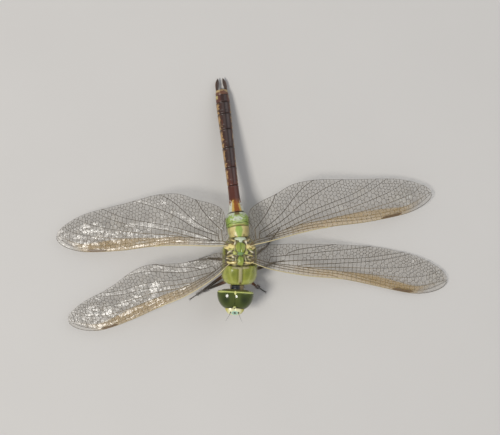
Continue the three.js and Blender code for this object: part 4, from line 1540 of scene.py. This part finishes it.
class AddHead(bpy.types.Operator):
    """The eyes, face and feelers"""

    bl_idname = "dragonfly.head"
    bl_label = "Head"

    def execute(self, context):
        _, colours = shared(context)
        eye_material = eye_finish()
        for side, sign in SIDES:
            lens = sheet(f"eye_{side}_lens", 110, 100, eye_lens(sign), HEAD_SPACE, eye_tint(colours))
            close_up(lens)
            cut(lens, (sign * 0.03, 0, 0), (-sign, 0, 0))
            finish(lens, eye_material, "eye", f"eye_{side}")
        face_material = shell_finish("face", 0.28, 0.15, 0.4)
        for part, (radii, centre) in FACE.items():
            name, tint, relief = f"{part}_plate", face_tint(colours, part), face_relief(part)
            pieces = [ball(name, radii, centre, tint, across=96, along=60, shape=relief)]
            pinch = pinched if part == "occiput" else None
            for knob in KNOBS.get(part, ()):
                knob_tone = knob_tint(colours, part)
                pieces.append(ball("knob", *knob, knob_tone, across=32, along=20, shape=pinch))
            finish(join(name, pieces), face_material, "face", part)
        beads = [ball("bead", (r, r, r), at, bead_tint, across=16, along=10) for r, at in OCELLI]
        finish(join("ocelli", beads), eye_material, "eye")
        leg_material = leg_finish(colours)
        for side, sign in SIDES:
            strand = [((sign * x, y, z), thick) for x, y, z, thick in FEELER]
            feeler = threads(f"antenna_{side}_thread", [strand], 1.0, HEAD_SPACE, 2)
            mark(feeler, "root", np.zeros(len(feeler.data.vertices)))
            finish(feeler, leg_material, "leg", f"antenna_{side}")
        return {"FINISHED"}


class AddLegs(bpy.types.Operator):
    """Six legs with their spines and claws"""

    bl_idname = "dragonfly.legs"
    bl_label = "Legs"

    def execute(self, context):
        _, colours = shared(context)
        material = leg_finish(colours)
        for name, joints in LEGS.items():
            leg = threads(f"leg_{name}_limb", leg_strands(*joints), 1.0, sides=2)
            hip = TO_FRAME @ Vector(joints[1])
            far = [(v.co - hip).length / MM for v in leg.data.vertices]
            mark(leg, "root", [1 - ease(2.0, 5.0, d) for d in far])
            finish(leg, material, "leg", f"leg_{name}")
        return {"FINISHED"}


class AddAbdomen(bpy.types.Operator):
    """The ten rings of the abdomen and the two leaf-shaped tail pieces"""

    bl_idname = "dragonfly.abdomen"
    bl_label = "Abdomen"

    def execute(self, context):
        _, colours = shared(context)
        green, brown = shell_finish("abdomen_green", 0.3), shell_finish("abdomen_brown", 0.33, 0.35, 0.1)
        for index in range(len(RINGS)):
            name, across = f"ring_{index + 1}", 128 if index < 3 else 96
            ring = sheet(name, across, 100, ring_skin(index), ABDOMEN_SPACE, ring_tint(index, colours))
            close_up(ring)
            if index == len(RINGS) - 1:
                flaps = [ball("flap", *row, flap_tint, ABDOMEN_SPACE, across=32, along=24) for row in FLAPS]
                ring = join(name, [ring, *flaps])
            material, slot = (green, "abdomen_green") if index < GREEN_RINGS else (brown, "abdomen_brown")
            finish(ring, material, slot, f"abdomen_{index + 1}")
        tail = shell_finish("tail", 0.35)
        for side, sign in SIDES:
            spread = Matrix.Rotation(math.radians(sign * CERCUS_SPREAD), 4, "Z")
            rise = Matrix.Rotation(math.radians(CERCUS_RISE), 4, "X")
            x, y, z = CERCUS_ROOT
            space = ABDOMEN_SPACE @ Matrix.Translation((sign * x, y, z)) @ spread @ rise
            cercus = close_up(sheet(f"cercus_{side}_leaf", 32, 40, cercus_skin(sign), space, cercus_tint))
            finish(cercus, tail, "tail", f"cercus_{side}")
        return {"FINISHED"}


class AddStage(bpy.types.Operator):
    """The floor, the lights and the camera straight above"""

    bl_idname = "dragonfly.stage"
    bl_label = "Stage"

    def execute(self, context):
        sizes, colours = shared(context)
        deselect()
        bpy.ops.mesh.primitive_plane_add(size=FLOOR_SIZE)
        floor = bpy.context.object
        floor.name = floor.data.name = "floor"
        made = Finish("floor", Roughness=0.85)
        tone = made.mix(made.grain(30), colours.floor, tuple(c * 0.96 for c in colours.floor))
        floor.data.materials.append(made.done(Base_Color=tone))
        centre = TO_FRAME @ Vector(VIEW_CENTRE)
        bpy.ops.object.camera_add(location=(centre.x, centre.y, sizes.camera_height), rotation=(0, 0, 0))
        camera = bpy.context.object
        camera.data.lens = sizes.focal_length
        camera.data.sensor_width = 36
        camera.data.clip_start = 0.01
        context.scene.camera = camera
        lights = (  # place, size, power and colour
            ("key", (-0.64, -0.32, 1.1), 0.34, sizes.key_power, (1, 0.97, 0.92)),
            ("fill", (0.9, 0.5, 0.8), 1.0, sizes.fill_power, (0.93, 0.96, 1)),
        )
        for name, place, size, power, tone in lights:
            bpy.ops.object.light_add(type="AREA", location=place)
            light = bpy.context.object
            light.name = light.data.name = name
            light.data.size, light.data.energy, light.data.color = size, power, tone
            aim = Vector(LIT_POINT) - Vector(place)
            light.rotation_euler = aim.to_track_quat("-Z", "Y").to_euler()
        world = bpy.data.worlds.new("studio")
        world.use_nodes = True
        sky = world.node_tree.nodes["Background"]
        sky.inputs["Color"].default_value = (0.9, 0.93, 1, 1)
        sky.inputs["Strength"].default_value = 0.45
        context.scene.world = world
        context.scene.view_settings.view_transform = "Standard"
        return {"FINISHED"}


PIECES = (AddThorax, AddHairs, AddHead, AddLegs, AddAbdomen, AddWings, AddStage)


class DragonflyPanel(bpy.types.Panel):
    """Lists the pieces of the dragonfly and what a user may change"""

    bl_idname = "VIEW3D_PT_dragonfly"
    bl_label = "Dragonfly"
    bl_space_type = "VIEW_3D"
    bl_region_type = "UI"
    bl_category = "Dragonfly"

    def draw(self, context):
        for piece in PIECES:
            self.layout.operator(piece.bl_idname)
        for group in shared(context):
            for name in type(group).__annotations__:
                self.layout.prop(group, name)


CLASSES = (DragonflySizes, DragonflyColours, *PIECES, DragonflyPanel)


def register():
    for kind in CLASSES:
        bpy.utils.register_class(kind)
    bpy.types.Scene.dragonfly_sizes = PointerProperty(type=DragonflySizes)
    bpy.types.Scene.dragonfly_colours = PointerProperty(type=DragonflyColours)


def unregister():
    del bpy.types.Scene.dragonfly_sizes
    del bpy.types.Scene.dragonfly_colours
    for kind in reversed(CLASSES):
        bpy.utils.unregister_class(kind)


def main():
    register()
    for piece in PIECES:
        group, name = piece.bl_idname.split(".")
        getattr(getattr(bpy.ops, group), name)()


if __name__ == "__main__":
    main()
